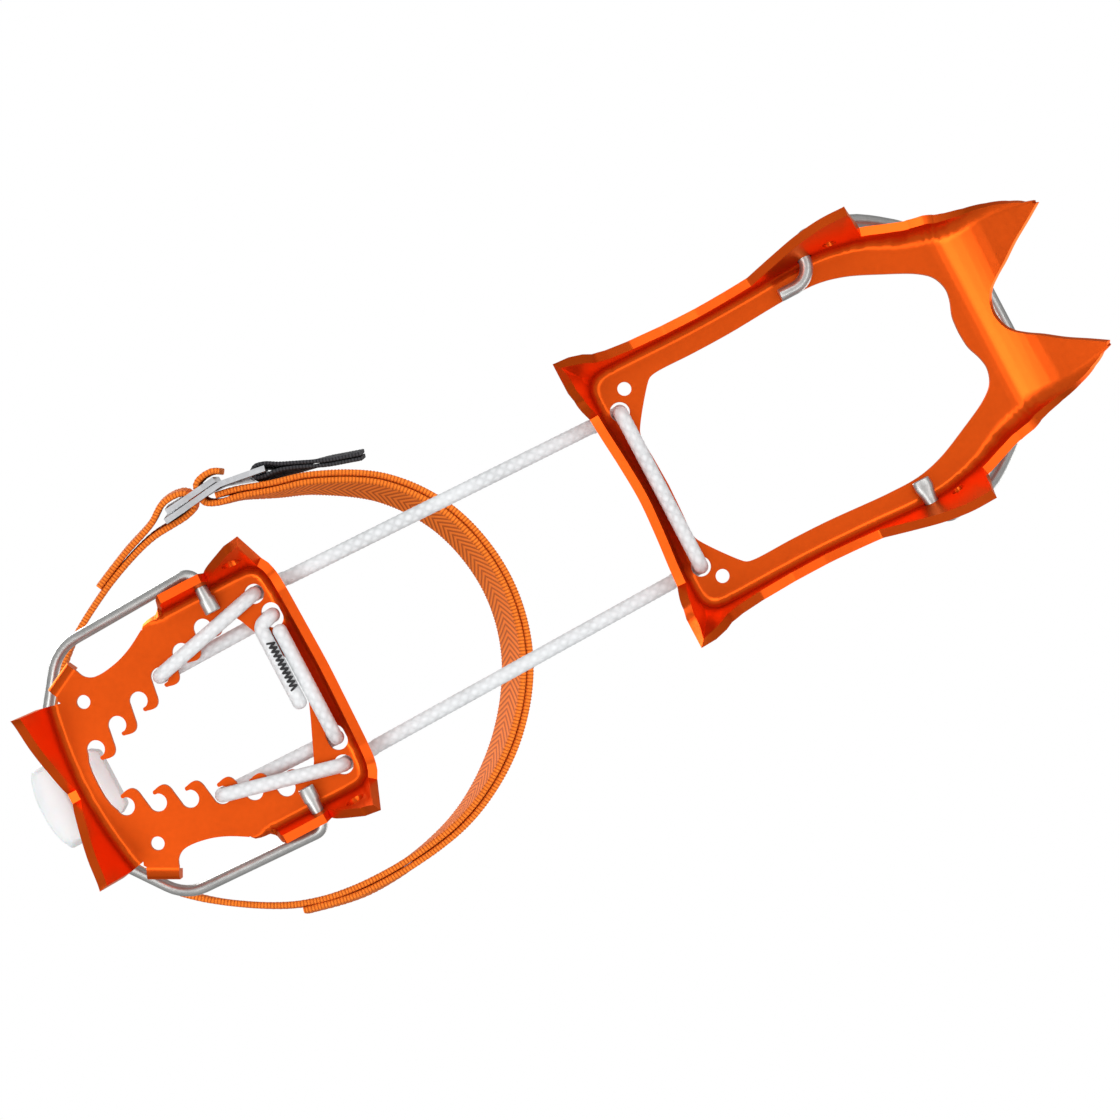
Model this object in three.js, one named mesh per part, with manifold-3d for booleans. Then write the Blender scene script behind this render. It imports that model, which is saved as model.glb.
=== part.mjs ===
// A ten-point aluminium crampon with a wire toe bail, a wire and lever heel binding,
// an ankle strap, and a cord that links the heel frame to the front frame.
//
// Millimetres. X runs from the heel to the toe, Y to the left, Z up; the tips stand on z = 0.
// Sizes along X start near the heel's rear tips, and on the front frame at its cord holes.

import * as THREE from 'three';
import Module from 'manifold-3d';
import { mergeVertices } from 'three/addons/utils/BufferGeometryUtils.js';

const wasm = await Module();
wasm.setup();

// ---------------------------------------------------------------- driving dimensions

const SEAT_HEIGHT = 36; // boot seat above the tips
const SHEET = 2.8; // frame sheet
const FLANGE_DEPTH = 9; // flange below the boot seat, between the points
const SPLAY = 0.2; // outward lean of a flange, per millimetre of depth
const REAR_SPLAY = 0.15; // the same, on the heel's rear flange
const TOE_SPLAY = 0.47; // the same, beside the front points
const LINK_SPAN = 121.7; // heel cord holes to front cord holes

const CORD = 4.4; // linking cord diameter
const TOE_WIRE = 4; // toe bail wire
const HEEL_WIRE = 3.5; // heel bail wire
const WEBBING_WIDTH = 20;
const WEBBING = 1.7; // webbing thickness
const RING = 1.8; // buckle ring thickness
const TAB_WIDTH = 16; // pull tab
const TAB_WEBBING = 1.1; // its webbing's thickness

const WIRE_PLAY = 0.4; // round a wire in its hole
const CORD_PLAY = 0.8; // round the cord in its hole
const STRAP_PLAY = 0.7; // round the webbing in the lever's tunnel
const TOUCH = 0.3; // between two pieces that touch

const SEAT_UNDERSIDE = SEAT_HEIGHT - SHEET;
const CORD_OVER = SEAT_HEIGHT + CORD / 2 + TOUCH; // cord axis on top of a frame
const CORD_UNDER = SEAT_UNDERSIDE - CORD / 2 - TOUCH; // cord axis under a frame

// Heel frame
const HEEL_HOLE_X = 80.3;
const HEEL_HOLE_Y = 28.7;
const BAR_SLOT_X = 82.2;
const BAR_SLOT_Y = 20.6;
const HOOKS = 6;
const HOOK_IN_USE = 3; // counted from the rear, from 0
const FIRST_HOOK = [17, 9.6];
const HOOK_PITCH = [9, 3.45];
const HOOK_RADIUS = CORD / 2 + 0.55;
const EAR_X = 67.5;
const EAR_DEPTH = 14;
const WIRE_DROP = 8; // wire hole below the boot seat
const SMALL_HOLE = 2.1; // radius of the plates' small holes
const HEEL_SMALL_HOLE = [20.3, 23.8];
const HEEL_POINT_SLOT = { x: 79.6, drop: 17.5, length: 3, height: 3.6 }; // oval, half sizes

// Front frame
const FRONT_X = HEEL_HOLE_X + LINK_SPAN;
const FRONT_HOLE_Y = 26;
const FRONT_SMALL_HOLE = [4.4, 31.5];
const FRONT_POINT_SLOT = { x: 77.6, drop: 11, length: 2, height: 2.6 };
const RAIL_Y = 42.4; // outer side of a rail at the toe bail's hole
const TOE_HOLE_X = 69.5;
const TOE_DROP = 6;
const TOE_BENDS = [[107, 0], [111, -1.2], [117, -6], [124, -11.8], [137, -18]]; // x, z from the seat

// Heel wire, lever and strap
const LEVER_PIVOT_X = -1;
const LEVER_PIVOT = SEAT_HEIGHT + 22; // height of the wire in the lever
const LEVER_WIDTH = 27;
const LEVER_FRONT = 1.5; // x of its front face, at its foot
const CATCH_REACH = 15.2; // x of the catch's lip
const STRAP_HEIGHT = SEAT_HEIGHT + 62; // middle of the webbing
const STRAP_BACK = -6.6; // x of the webbing in the lever
const LEVER_TOP = STRAP_HEIGHT + WEBBING_WIDTH / 2 + 4;

// ---------------------------------------------------------------- helpers

const vec = (x, y, z) => new THREE.Vector3(x, y, z);
const mirrorY = (points) => points.map(([x, y, ...rest]) => [x, -y, ...rest]);

function bare(geometry) {
  geometry.deleteAttribute('normal');
  geometry.deleteAttribute('uv');
  return mergeVertices(geometry, 1e-4);
}

function toSolid(geometry) {
  const merged = bare(geometry);
  return new wasm.Manifold(new wasm.Mesh({
    numProp: 3,
    vertProperties: new Float32Array(merged.attributes.position.array),
    triVerts: new Uint32Array(merged.index.array),
  }));
}

function fromSolid(solid) {
  const { vertProperties, triVerts } = solid.getMesh();
  const geometry = new THREE.BufferGeometry();
  geometry.setAttribute('position', new THREE.BufferAttribute(new Float32Array(vertProperties), 3));
  geometry.setIndex(new THREE.BufferAttribute(new Uint32Array(triVerts), 1));
  geometry.computeVertexNormals();
  return geometry;
}

const join = (...geometries) => fromSolid(geometries.map(toSolid).reduce((a, b) => a.add(b)));
const cut = (body, ...tools) => fromSolid(tools.map(toSolid).reduce((a, b) => a.subtract(b), toSolid(body)));
const common = (a, b) => fromSolid(toSolid(a).intersect(toSolid(b)));

// Cross sections with the same number of corners, joined one to the next and capped.
function loft(sections) {
  const corners = sections[0].length;
  const index = [];
  for (let i = 0; i < sections.length - 1; i += 1) {
    for (let k = 0; k < corners; k += 1) {
      const a = i * corners + k;
      const b = i * corners + (k + 1) % corners;
      index.push(a, b, b + corners, a, b + corners, a + corners);
    }
  }
  const last = (sections.length - 1) * corners;
  for (let k = 1; k < corners - 1; k += 1) {
    index.push(0, k + 1, k);
    index.push(last, last + k, last + k + 1);
  }
  const geometry = new THREE.BufferGeometry();
  const positions = sections.flat().flatMap((p) => p.toArray());
  geometry.setAttribute('position', new THREE.Float32BufferAttribute(positions, 3));
  geometry.setIndex(index);
  return facingOut(geometry);
}

// Turns a closed geometry's faces round if they point inwards.
function facingOut(geometry) {
  const at = (i) => new THREE.Vector3().fromBufferAttribute(geometry.attributes.position, i);
  const index = Array.from(geometry.index.array);
  let volume = 0;
  for (let i = 0; i < index.length; i += 3) {
    volume += at(index[i]).dot(at(index[i + 1]).cross(at(index[i + 2])));
  }
  if (volume < 0) {
    index.reverse();
    geometry.setIndex(index);
  }
  geometry.computeVertexNormals();
  return geometry;
}

function shapeOf(points) {
  return new THREE.Shape(points.map(([x, y]) => new THREE.Vector2(x, y)));
}

// A plan outline, given a height range.
function slab(shape, low, high) {
  const settings = { depth: high - low, bevelEnabled: false, curveSegments: 8 };
  return new THREE.ExtrudeGeometry(shape, settings).translate(0, 0, low);
}

// A side-view outline (x, z), given a half width across Y.
function sideSlab(points, halfWidth) {
  const geometry = new THREE.ExtrudeGeometry(shapeOf(points), { depth: 2 * halfWidth, bevelEnabled: false });
  return geometry.rotateX(Math.PI / 2).translate(0, halfWidth, 0);
}

function drill(x, y, radius, stretch = 0) {
  const shape = new THREE.Shape();
  shape.absarc(x, y + stretch, radius, 0, Math.PI, false);
  shape.absarc(x, y - stretch, radius, Math.PI, 2 * Math.PI, false);
  return slab(shape, SEAT_UNDERSIDE - 2, SEAT_HEIGHT + 2);
}

// An oval hole through both side flanges, across Y.
function drillAcross(x, z, halfLength, halfHeight, segments = 16) {
  const geometry = new THREE.CylinderGeometry(1, 1, 140, segments);
  return geometry.scale(halfLength, 1, halfHeight).translate(x, 0, z);
}

const pointSlot = ({ x, drop, length, height }) => drillAcross(x, SEAT_HEIGHT - drop, length, height);

function wireHole(x, drop, wire) {
  const radius = wire / 2 + WIRE_PLAY;
  return drillAcross(x, SEAT_HEIGHT - drop, radius, radius);
}

// A round tube along a route of [x, y, z, reach]: reach is how far from a corner its bend begins.
function tube(route, diameter, steps, sides = 10) {
  const path = new THREE.CurvePath();
  const points = route.map(([x, y, z]) => vec(x, y, z));
  let from = points[0];
  for (let i = 1; i < points.length - 1; i += 1) {
    const reach = route[i][3];
    const start = points[i].clone().lerp(points[i - 1], reach / points[i].distanceTo(points[i - 1]));
    const end = points[i].clone().lerp(points[i + 1], reach / points[i].distanceTo(points[i + 1]));
    path.add(new THREE.LineCurve3(from, start));
    path.add(new THREE.QuadraticBezierCurve3(start, points[i], end));
    from = end;
  }
  path.add(new THREE.LineCurve3(from, points[points.length - 1]));
  const section = new THREE.Shape();
  section.absarc(0, 0, diameter / 2, 0, 2 * Math.PI, false);
  const settings = { steps, curveSegments: sides / 2, extrudePath: path, bevelEnabled: false };
  return facingOut(bare(new THREE.ExtrudeGeometry(section, settings)));
}

function mesh(name, geometry, material) {
  const piece = new THREE.Mesh(geometry, material);
  piece.name = name;
  return piece;
}

// ---------------------------------------------------------------- materials

const anodised = new THREE.MeshStandardMaterial({ color: 0xd95013, roughness: 0.32, metalness: 0.9 });
const steel = new THREE.MeshStandardMaterial({ color: 0xa9a9a6, roughness: 0.3, metalness: 1 });
const plastic = new THREE.MeshStandardMaterial({ color: 0xe2e2e0, roughness: 0.45, metalness: 0 });
const braid = new THREE.MeshStandardMaterial({ color: 0xf0f0ee, roughness: 0.85, metalness: 0 });
const orangeWebbing = new THREE.MeshStandardMaterial({ color: 0xeb6a24, roughness: 0.8, metalness: 0 });
const blackWebbing = new THREE.MeshStandardMaterial({ color: 0x3b3b3d, roughness: 0.8, metalness: 0 });
const polished = new THREE.MeshStandardMaterial({ color: 0xd2d3d6, roughness: 0.25, metalness: 1 });

// ---------------------------------------------------------------- frames

// A flange hung from the outer edge of a plate. Each station is [x, y, depth, splay], and the
// wall leans outwards along the edge's own normal.
function flange(stations, seat = () => SEAT_HEIGHT) {
  const edge = stations.map(([x, y]) => new THREE.Vector2(x, y));
  const sections = stations.map(([x, y, depth, splay = SPLAY], i) => {
    const ahead = edge[Math.min(i + 1, edge.length - 1)];
    const behind = edge[Math.max(i - 1, 0)];
    const along = ahead.clone().sub(behind).normalize();
    const out = new THREE.Vector2(along.y, -along.x);
    const top = seat(x);
    const at = (offset, z) => vec(x + out.x * offset, y + out.y * offset, z);
    const foot = top - depth;
    return [at(0, top), at(splay * depth, foot), at(splay * depth - SHEET, foot), at(-SHEET, top)];
  });
  return loft(sections);
}

// Depth of a flange with a point: `gentle` and `steep` are where its two edges leave the flange.
function pointDepth(where, { gentle, tip, steep }, depth = FLANGE_DEPTH, full = SEAT_HEIGHT) {
  const fromGentle = (where - gentle) / (tip - gentle);
  const fromSteep = (steep - where) / (steep - tip);
  return depth + (full - depth) * THREE.MathUtils.clamp(Math.min(fromGentle, fromSteep), 0, 1);
}

// Where the points' edges leave the flanges.
const HEEL_REAR_POINT = { gentle: 1.5, tip: 26.4, steep: 27.4 }; // along y
const HEEL_FRONT_POINT = { gentle: 69, tip: 86, steep: 87.2 }; // along x
const FRONT_REAR_POINT = { gentle: -11, tip: 8.2, steep: 9.6 }; // along -x
const FRONT_SIDE_POINT = { gentle: 52, tip: 81.4, steep: 86.4 }; // along x

const HEEL_SIDE_Y = 38.5;
const HEEL_FRONT_EDGE = 89;

// Left halves of the heel frame's outer edge: its rear, its waist with the guide tab, its side
// from the ear forward, and its front.
const HEEL_REAR = [0, 1.5, 12, 20, 26.4, 27.4].map((y) => [5.8 + 3.2 * (y / 27.4) ** 2, y]);
const TAB_BASE = [[14.2, 28.3], [22.8, 32.8]];
const HEEL_WAIST = [
  [11.5, 27], [13, 28.2], ...TAB_BASE, [23.6, 31], [25.6, 29.3], [29, 28.8], [35, 29.8], [40, 31.7],
];
const HEEL_SIDE = [
  [46, 35.1], [50, 37.3], [53.5, HEEL_SIDE_Y], [56, HEEL_SIDE_Y], [EAR_X + 1, HEEL_SIDE_Y],
  [EAR_X + 3, HEEL_SIDE_Y], [80, HEEL_SIDE_Y], [84.6, HEEL_SIDE_Y - 0.2], [86, HEEL_SIDE_Y - 1],
  [87.2, HEEL_SIDE_Y - 2.4],
  [88.1, HEEL_SIDE_Y - 6], [HEEL_FRONT_EDGE - 0.4, 16], [HEEL_FRONT_EDGE, 0],
];

function heelRearFlange() {
  const half = HEEL_REAR.map(([x, y]) => [x, y, pointDepth(y, HEEL_REAR_POINT), REAR_SPLAY]);
  return flange([...half.slice(1).reverse(), ...mirrorY(half)]);
}

function heelSideDepth(x) {
  if (x < 53) {
    return THREE.MathUtils.mapLinear(x, 46, 53, SHEET + 0.4, FLANGE_DEPTH);
  }
  return x > 54 && x < EAR_X + 2 ? EAR_DEPTH : pointDepth(x, HEEL_FRONT_POINT);
}

function heelFrontFlange() {
  const half = HEEL_SIDE.map(([x, y]) => [x, y, heelSideDepth(x), SPLAY]);
  return flange([...mirrorY(half.slice(0, -1)), ...half.reverse()]);
}

const hookCentre = (i) => [FIRST_HOOK[0] + i * HOOK_PITCH[0], FIRST_HOOK[1] + i * HOOK_PITCH[1]];

// Opening of the heel frame, before its hooks are added: right behind the last hook comes the
// gusset that carries the cord holes.
function heelOpening() {
  const wall = HOOK_RADIUS + 0.1;
  const [rearX, rearY] = hookCentre(0);
  const [lastX, lastY] = hookCentre(HOOKS - 1);
  const half = [
    [12.6, 0], [13, 6], [rearX - wall, rearY], [rearX - 2, rearY + 2.2], [rearX, rearY + wall],
    [lastX, lastY + wall], [lastX + 4.5, lastY + 1.5], [72.8, 24.4], [81.8, 3], [82.6, 0],
  ];
  return [...half, ...mirrorY(half.slice(1, -1)).reverse()];
}

// A hook that curls round the inner side of its slot towards the rear.
function hook(i, side) {
  const [cx, cy] = hookCentre(i);
  const tip = THREE.MathUtils.degToRad(-84);
  const shape = new THREE.Shape();
  shape.moveTo(cx + 1.6, cy + HOOK_RADIUS + 2);
  shape.absarc(cx, cy, HOOK_RADIUS, THREE.MathUtils.degToRad(50), tip, true);
  shape.lineTo(cx - 0.1, cy - HOOK_RADIUS - 1.3);
  shape.quadraticCurveTo(cx + HOOK_PITCH[0] * 0.55, cy - 5.6, cx + HOOK_PITCH[0] * 0.62, cy);
  shape.lineTo(cx + HOOK_PITCH[0] - HOOK_RADIUS, cy + HOOK_PITCH[1]);
  shape.lineTo(cx + HOOK_PITCH[0] - HOOK_RADIUS, cy + HOOK_RADIUS + 5);
  const geometry = slab(shape, SEAT_UNDERSIDE, SEAT_HEIGHT);
  return facingOut(bare(geometry.scale(1, side, 1)));
}

// The guide tab that stands up beside the boot's heel.
const TAB_OFFSET = 4.2; // its outer face, out from its root
const TAB_HEIGHT = 9;

function bootTab(side) {
  const base = TAB_BASE.map(([x, y]) => vec(x, y, 0));
  const along = base[1].clone().sub(base[0]).normalize();
  const out = vec(-along.y, along.x, 0);
  const top = SEAT_HEIGHT + TAB_HEIGHT;
  const inner = TAB_OFFSET - SHEET;
  const profile = [
    [0, SEAT_UNDERSIDE], [inner + 1.2, SEAT_UNDERSIDE], [TAB_OFFSET, SEAT_HEIGHT - 1.2], [TAB_OFFSET, top],
    [inner, top], [inner, SEAT_HEIGHT], [0, SEAT_HEIGHT],
  ];
  const sections = base.map((p) => profile.map(([offset, z]) => {
    const at = p.clone().addScaledVector(out, offset - 0.2);
    return vec(at.x, side * at.y, z);
  }));
  return loft(sections);
}

function heelFrame() {
  const half = [...HEEL_REAR, ...HEEL_WAIST, ...HEEL_SIDE];
  const outline = [...half, ...mirrorY(half.slice(1, -1)).reverse()];
  const plate = cut(slab(shapeOf(outline), SEAT_UNDERSIDE, SEAT_HEIGHT),
    slab(shapeOf(heelOpening()), SEAT_UNDERSIDE - 1, SEAT_HEIGHT + 1));
  const additions = [plate, heelRearFlange(), heelFrontFlange()];
  const cuts = [wireHole(EAR_X, WIRE_DROP, HEEL_WIRE), pointSlot(HEEL_POINT_SLOT)];
  for (const side of [1, -1]) {
    additions.push(bootTab(side));
    for (let i = 0; i < HOOKS; i += 1) {
      additions.push(hook(i, side));
    }
    cuts.push(drill(HEEL_SMALL_HOLE[0], side * HEEL_SMALL_HOLE[1], SMALL_HOLE));
    cuts.push(drill(HEEL_HOLE_X, side * HEEL_HOLE_Y, CORD / 2 + CORD_PLAY));
    cuts.push(drill(BAR_SLOT_X, side * BAR_SLOT_Y, CORD / 2 + CORD_PLAY, 1));
  }
  return mesh('heel_frame', cut(join(...additions), ...cuts), anodised);
}

// Half of the front frame's outer edge, from the rear to the roots of the front points.
const FRONT_EDGE = [
  [-5.5, 0], [-6.1, 12], [-7.4, 26], [-8.6, 34.6], [-9.2, 36.8], [-9, 38.2], [-7.8, 39.2], [-5, 40],
  [11, 41.2], [30, 41.3], [52, 41.6], [62, 42.2], [TOE_HOLE_X, RAIL_Y], [76, 42.2], [81.4, 41.3], [86.4, 39.6],
  [98, 35.6], [108, 33],
];
const TOE_EDGE = [[118, 31.4], [128, 27.8], [135.4, 22.9]];
const TOE_NOTCH = [[132, 19.5], [124, 13.4], [118.5, 9.8], [115.2, 7], [113.4, 3.6], [112.8, 0]];
const FRONT_OPENING = [
  [2.8, 0], [2.2, 17.2], [11.6, 30.2], [14.4, 31.4], [40, 31.6], [60, 32.7], [70, 32.5], [78, 30.6], [88, 26.2],
  [98, 21], [101.5, 17.8], [103, 13.5], [102.6, 10], [100.9, 5], [100.5, 0],
];

// Height of the front frame's top at x: flat, then bent down towards the front points.
function toeSeat(x) {
  const next = TOE_BENDS.findIndex(([bendX]) => bendX > x);
  if (next < 1) {
    return SEAT_HEIGHT + (next === 0 ? 0 : TOE_BENDS[TOE_BENDS.length - 1][1]);
  }
  const [x0, z0] = TOE_BENDS[next - 1];
  const [x1, z1] = TOE_BENDS[next];
  return SEAT_HEIGHT + THREE.MathUtils.mapLinear(x, x0, x1, z0, z1);
}

function frontDepth(x, y) {
  if (y < 37) {
    return x > 105 ? THREE.MathUtils.mapLinear(x, 105, 130, FLANGE_DEPTH, SHEET) : FLANGE_DEPTH;
  }
  return Math.max(pointDepth(-x, FRONT_REAR_POINT), pointDepth(x, FRONT_SIDE_POINT));
}

function frontFlange() {
  const edge = [...FRONT_EDGE, ...TOE_EDGE.slice(0, 2)];
  const half = edge.map(([x, y]) => {
    const forward = THREE.MathUtils.clamp(THREE.MathUtils.mapLinear(x, 82, 96, 0, 1), 0, 1);
    return [x, y, frontDepth(x, y), THREE.MathUtils.lerp(SPLAY, TOE_SPLAY, forward)];
  });
  return flange([...half.slice(1).reverse(), ...mirrorY(half)], toeSeat);
}

function frontFrame() {
  const half = [...FRONT_EDGE, ...TOE_EDGE, ...TOE_NOTCH];
  const outline = [...half, ...mirrorY(half.slice(1, -1)).reverse()];
  const opening = [...FRONT_OPENING, ...mirrorY(FRONT_OPENING.slice(1, -1)).reverse()];
  const top = [[-20, 0], ...TOE_BENDS];
  const profile = [
    ...top.map(([x, z]) => [x, SEAT_HEIGHT + z]),
    ...top.map(([x, z]) => [x - (z < 0 ? SHEET * 0.45 : 0), SEAT_HEIGHT + z - SHEET]).reverse(),
  ];
  const plan = cut(slab(shapeOf(outline), 0, SEAT_HEIGHT + 5), slab(shapeOf(opening), -1, SEAT_HEIGHT + 6));
  const plate = common(plan, sideSlab(profile, 60));
  const cuts = [wireHole(TOE_HOLE_X, TOE_DROP, TOE_WIRE), pointSlot(FRONT_POINT_SLOT)];
  for (const side of [1, -1]) {
    cuts.push(drill(0, side * FRONT_HOLE_Y, CORD / 2 + CORD_PLAY));
    cuts.push(drill(FRONT_SMALL_HOLE[0], side * FRONT_SMALL_HOLE[1], SMALL_HOLE));
  }
  return mesh('front_frame', cut(join(plate, frontFlange()), ...cuts).translate(FRONT_X, 0, 0), anodised);
}

// ---------------------------------------------------------------- wires

// Toe bail: out through the flange holes, forward and up, and round the boot's toe. Its right end
// is turned back under the rail and its left end is flattened.
function toeBail() {
  const hole = SEAT_HEIGHT - TOE_DROP;
  const outer = RAIL_Y + TOE_DROP * SPLAY + TOE_WIRE / 2 + 1.4;
  const arm = [
    [TOE_HOLE_X, outer, hole, 4.5], [87, outer - 0.8, hole + 10, 7], [104, 35, hole + 19.5, 9],
    [117, 19, hole + 28.5, 9],
  ];
  const inner = RAIL_Y - 8;
  const hooked = [[TOE_HOLE_X - 12, -inner, hole], [TOE_HOLE_X, -inner, hole, 4]];
  const route = [...hooked, ...mirrorY(arm), ...arm.slice().reverse(), [TOE_HOLE_X, RAIL_Y - 6, hole]];
  const wire = tube(route, TOE_WIRE, 72);
  const spade = new THREE.CylinderGeometry(TOE_WIRE * 0.55, TOE_WIRE * 0.72, 5.4, 10);
  spade.scale(1, 1, 0.62).translate(TOE_HOLE_X, RAIL_Y - 6.8, hole);
  return mesh('toe_bail', join(wire, spade).translate(FRONT_X, 0, 0), steel);
}

// Heel wire: out through the ears, back and up past the guide tabs, and through the lever.
function heelWire() {
  const hole = SEAT_HEIGHT - WIRE_DROP;
  const outer = HEEL_SIDE_Y + WIRE_DROP * SPLAY + HEEL_WIRE / 2 + 1.2;
  const half = [
    [EAR_X, 31.4, hole], [EAR_X, outer, hole, 4], [19, outer - 1, SEAT_HEIGHT + 12, 7],
    [LEVER_PIVOT_X, LEVER_WIDTH / 2 + 3.4, LEVER_PIVOT, 3],
  ];
  const wire = tube([...half, ...mirrorY(half).reverse()], HEEL_WIRE, 64, 8);
  const crimps = [1, -1].map((side) => {
    const crimp = new THREE.CylinderGeometry(HEEL_WIRE * 0.62, HEEL_WIRE * 0.62, 5, 10);
    return crimp.scale(1, 1, 0.7).translate(EAR_X, side * 31.6, hole);
  });
  return mesh('heel_wire', join(wire, ...crimps), steel);
}

// ---------------------------------------------------------------- linking cord

const OVER_BEND = 3.4; // reach of the cord's bends over a hole's edge
const HEEL_FOLD_X = HEEL_FRONT_EDGE + 1.6; // the cord bends here when the heel folds
const FRONT_FOLD_X = FRONT_X - 9.4;
const MID_SPAN_X = (HEEL_FOLD_X + FRONT_FOLD_X) / 2;

function cordPiece(name, route, steps) {
  return mesh(name, tube(route, CORD, steps, 8), braid);
}

// Across the front frame's rear bar, down through one hole and up through the other.
function cordFrontBar() {
  const half = [
    [FRONT_FOLD_X + TOUCH / 2, FRONT_HOLE_Y, CORD_OVER], [FRONT_X, FRONT_HOLE_Y, CORD_OVER, OVER_BEND],
    [FRONT_X, FRONT_HOLE_Y, CORD_UNDER, OVER_BEND],
  ];
  return cordPiece('cord_front_bar', [...half, ...mirrorY(half).reverse()], 26);
}

// One side's span between the frames, in the two halves that the length setting moves.
function cordSpans(side, name) {
  const yAt = (x) => side * THREE.MathUtils.mapLinear(x, HEEL_HOLE_X, FRONT_X, HEEL_HOLE_Y, FRONT_HOLE_Y);
  const stretch = (from, to) => [[from, yAt(from), CORD_OVER], [to, yAt(to), CORD_OVER]];
  const gap = TOUCH / 2;
  return [
    cordPiece(`cord_span_heel_${name}`, stretch(HEEL_FOLD_X + gap, MID_SPAN_X - gap), 6),
    cordPiece(`cord_span_front_${name}`, stretch(MID_SPAN_X + gap, FRONT_FOLD_X - gap), 6),
  ];
}

// One side's run on the heel frame: down its hole, back under the frame to the hook in use, and
// forward over the frame to the slot of the sewn bar.
function cordHeelRun(side, name) {
  const [hookX, hookY] = hookCentre(HOOK_IN_USE);
  const route = [
    [HEEL_FOLD_X - TOUCH / 2, HEEL_HOLE_Y, CORD_OVER], [HEEL_HOLE_X, HEEL_HOLE_Y, CORD_OVER, OVER_BEND],
    [HEEL_HOLE_X, HEEL_HOLE_Y, CORD_UNDER, OVER_BEND], [hookX, hookY, CORD_UNDER, OVER_BEND],
    [hookX, hookY, CORD_OVER, OVER_BEND], [BAR_SLOT_X, BAR_SLOT_Y, CORD_OVER, OVER_BEND],
    [BAR_SLOT_X, BAR_SLOT_Y, SEAT_HEIGHT - SHEET / 2 + TOUCH / 2],
  ];
  return cordPiece(`cord_heel_${name}`, side > 0 ? route : mirrorY(route), 56);
}

const SPLICE_END = 6.5;
const TAIL_X = BAR_SLOT_X - CORD - TOUCH;
const BELOW_SLOT = SEAT_HEIGHT - SHEET / 2 - TOUCH / 2;

// The cord's two ends lie side by side under the heel frame's front bar, sewn together.
function cordSplice() {
  const fromLeft = [
    [BAR_SLOT_X, BAR_SLOT_Y, BELOW_SLOT], [BAR_SLOT_X, BAR_SLOT_Y, CORD_UNDER, OVER_BEND],
    [BAR_SLOT_X, -15.6, CORD_UNDER],
  ];
  const fromRight = [
    [BAR_SLOT_X, -BAR_SLOT_Y, BELOW_SLOT], [BAR_SLOT_X, -BAR_SLOT_Y, CORD_UNDER, 2.2],
    [TAIL_X, 1.4 - BAR_SLOT_Y, CORD_UNDER, 2], [TAIL_X, SPLICE_END, CORD_UNDER],
  ];
  return [cordPiece('cord_end_left', fromLeft, 16), cordPiece('cord_end_right', fromRight, 16)];
}

// ---------------------------------------------------------------- ankle strap

const STRAP_CENTRE = new THREE.Vector2(74, 0);
const LEVER_SIDE = LEVER_WIDTH / 2 + TOUCH;
const LAYER = WEBBING + TOUCH + 0.2; // from one webbing layer to the next
const TIP = 0.34; // sideways tip of the webbing at the ankle's front, per millimetre of height
const LEAN = 0.1; // sideways lean beside the ankle, the other way
const LEAN_BEGINS = 24;
const BESIDE_ANKLE = 60;
const FRONT_OF_ANKLE = 145;

// The webbing is upright at the lever, leans out a little beside the ankle, and tips its upper edge
// in towards the ankle's front.
const strapTip = (x) => (LEAN + TIP) * THREE.MathUtils.smoothstep(x, BESIDE_ANKLE, FRONT_OF_ANKLE)
  - LEAN * THREE.MathUtils.smoothstep(x, STRAP_BACK, LEAN_BEGINS);

// A strip that stands on its edge along a plan curve.
function strip(points, steps, width = WEBBING_WIDTH, thick = WEBBING, tipAt = strapTip) {
  const curve = new THREE.SplineCurve(points.map(([x, y]) => new THREE.Vector2(x, y)));
  const sections = [];
  for (let i = 0; i <= steps; i += 1) {
    const p = curve.getPointAt(i / steps);
    const along = curve.getTangentAt(i / steps);
    const across = new THREE.Vector2(-along.y, along.x).multiplyScalar(thick / 2);
    const tip = STRAP_CENTRE.clone().sub(p).normalize().multiplyScalar(tipAt(p.x) * width / 2);
    const corner = (s, t) => vec(p.x + s * across.x + t * tip.x, p.y + s * across.y + t * tip.y,
      STRAP_HEIGHT + t * width / 2);
    sections.push([corner(1, -1), corner(-1, -1), corner(-1, 1), corner(1, 1)]);
  }
  return loft(sections);
}

// From the lever round the left of the ankle and its front to the buckle, and over the short
// ring's bar.
const STRAP_LEFT = [
  [STRAP_BACK, LEVER_SIDE + TOUCH], [-4.4, 19], [3, 30], [13, 43.2], [27, 54.2], [44, 63], [62, 66.6],
  [84, 65.4], [104, 59.6], [124, 45.6], [138.6, 25], [143.6, 2], [139, -22], [126.5, -40], [108, -51.6],
  [96, -55.8], [86, -59.6], [79.4, -61.2],
];
const LEFT_TURN = [[75.8, -63.4], [75.4, -66.4], [76, -69.4], [78.4, -70.6], [82.2, -70.6], [84.4, -69.4]];
const TAIL_START = [[79.8, -63.5], [86, -62]];
const TAIL_END_INDEX = 5; // the tail lies outside the strap's left run from here on

// From the lever round the right of the ankle, through the rings, and back on itself, sewn.
const STRAP_RIGHT = [
  [STRAP_BACK, -LEVER_SIDE - TOUCH], [-4.4, -19], [3, -29.4], [17, -42.8], [33, -52.6], [46, -58.4],
  [56, -61.4], [63, -62], [68.6, -62.4],
];
const RIGHT_TURN = [
  [71.6, -63.4], [72.6, -66], [71.4, -68.8], [68.4, -69.8], [63.4, -69.2], [57.5, -65.4], [46, -61],
  [33.6, -55.3],
];

// A plan route moved outwards, away from the ankle.
function outside(points, offset) {
  return points.map(([x, y], i) => {
    const [ahead, behind] = [points[Math.min(i + 1, points.length - 1)], points[Math.max(i - 1, 0)]];
    const along = new THREE.Vector2(ahead[0] - behind[0], ahead[1] - behind[1]).normalize();
    const away = new THREE.Vector2(x, y).sub(STRAP_CENTRE);
    const turn = Math.sign(along.y * away.x - along.x * away.y);
    return [x + turn * along.y * offset, y - turn * along.x * offset];
  });
}

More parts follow.
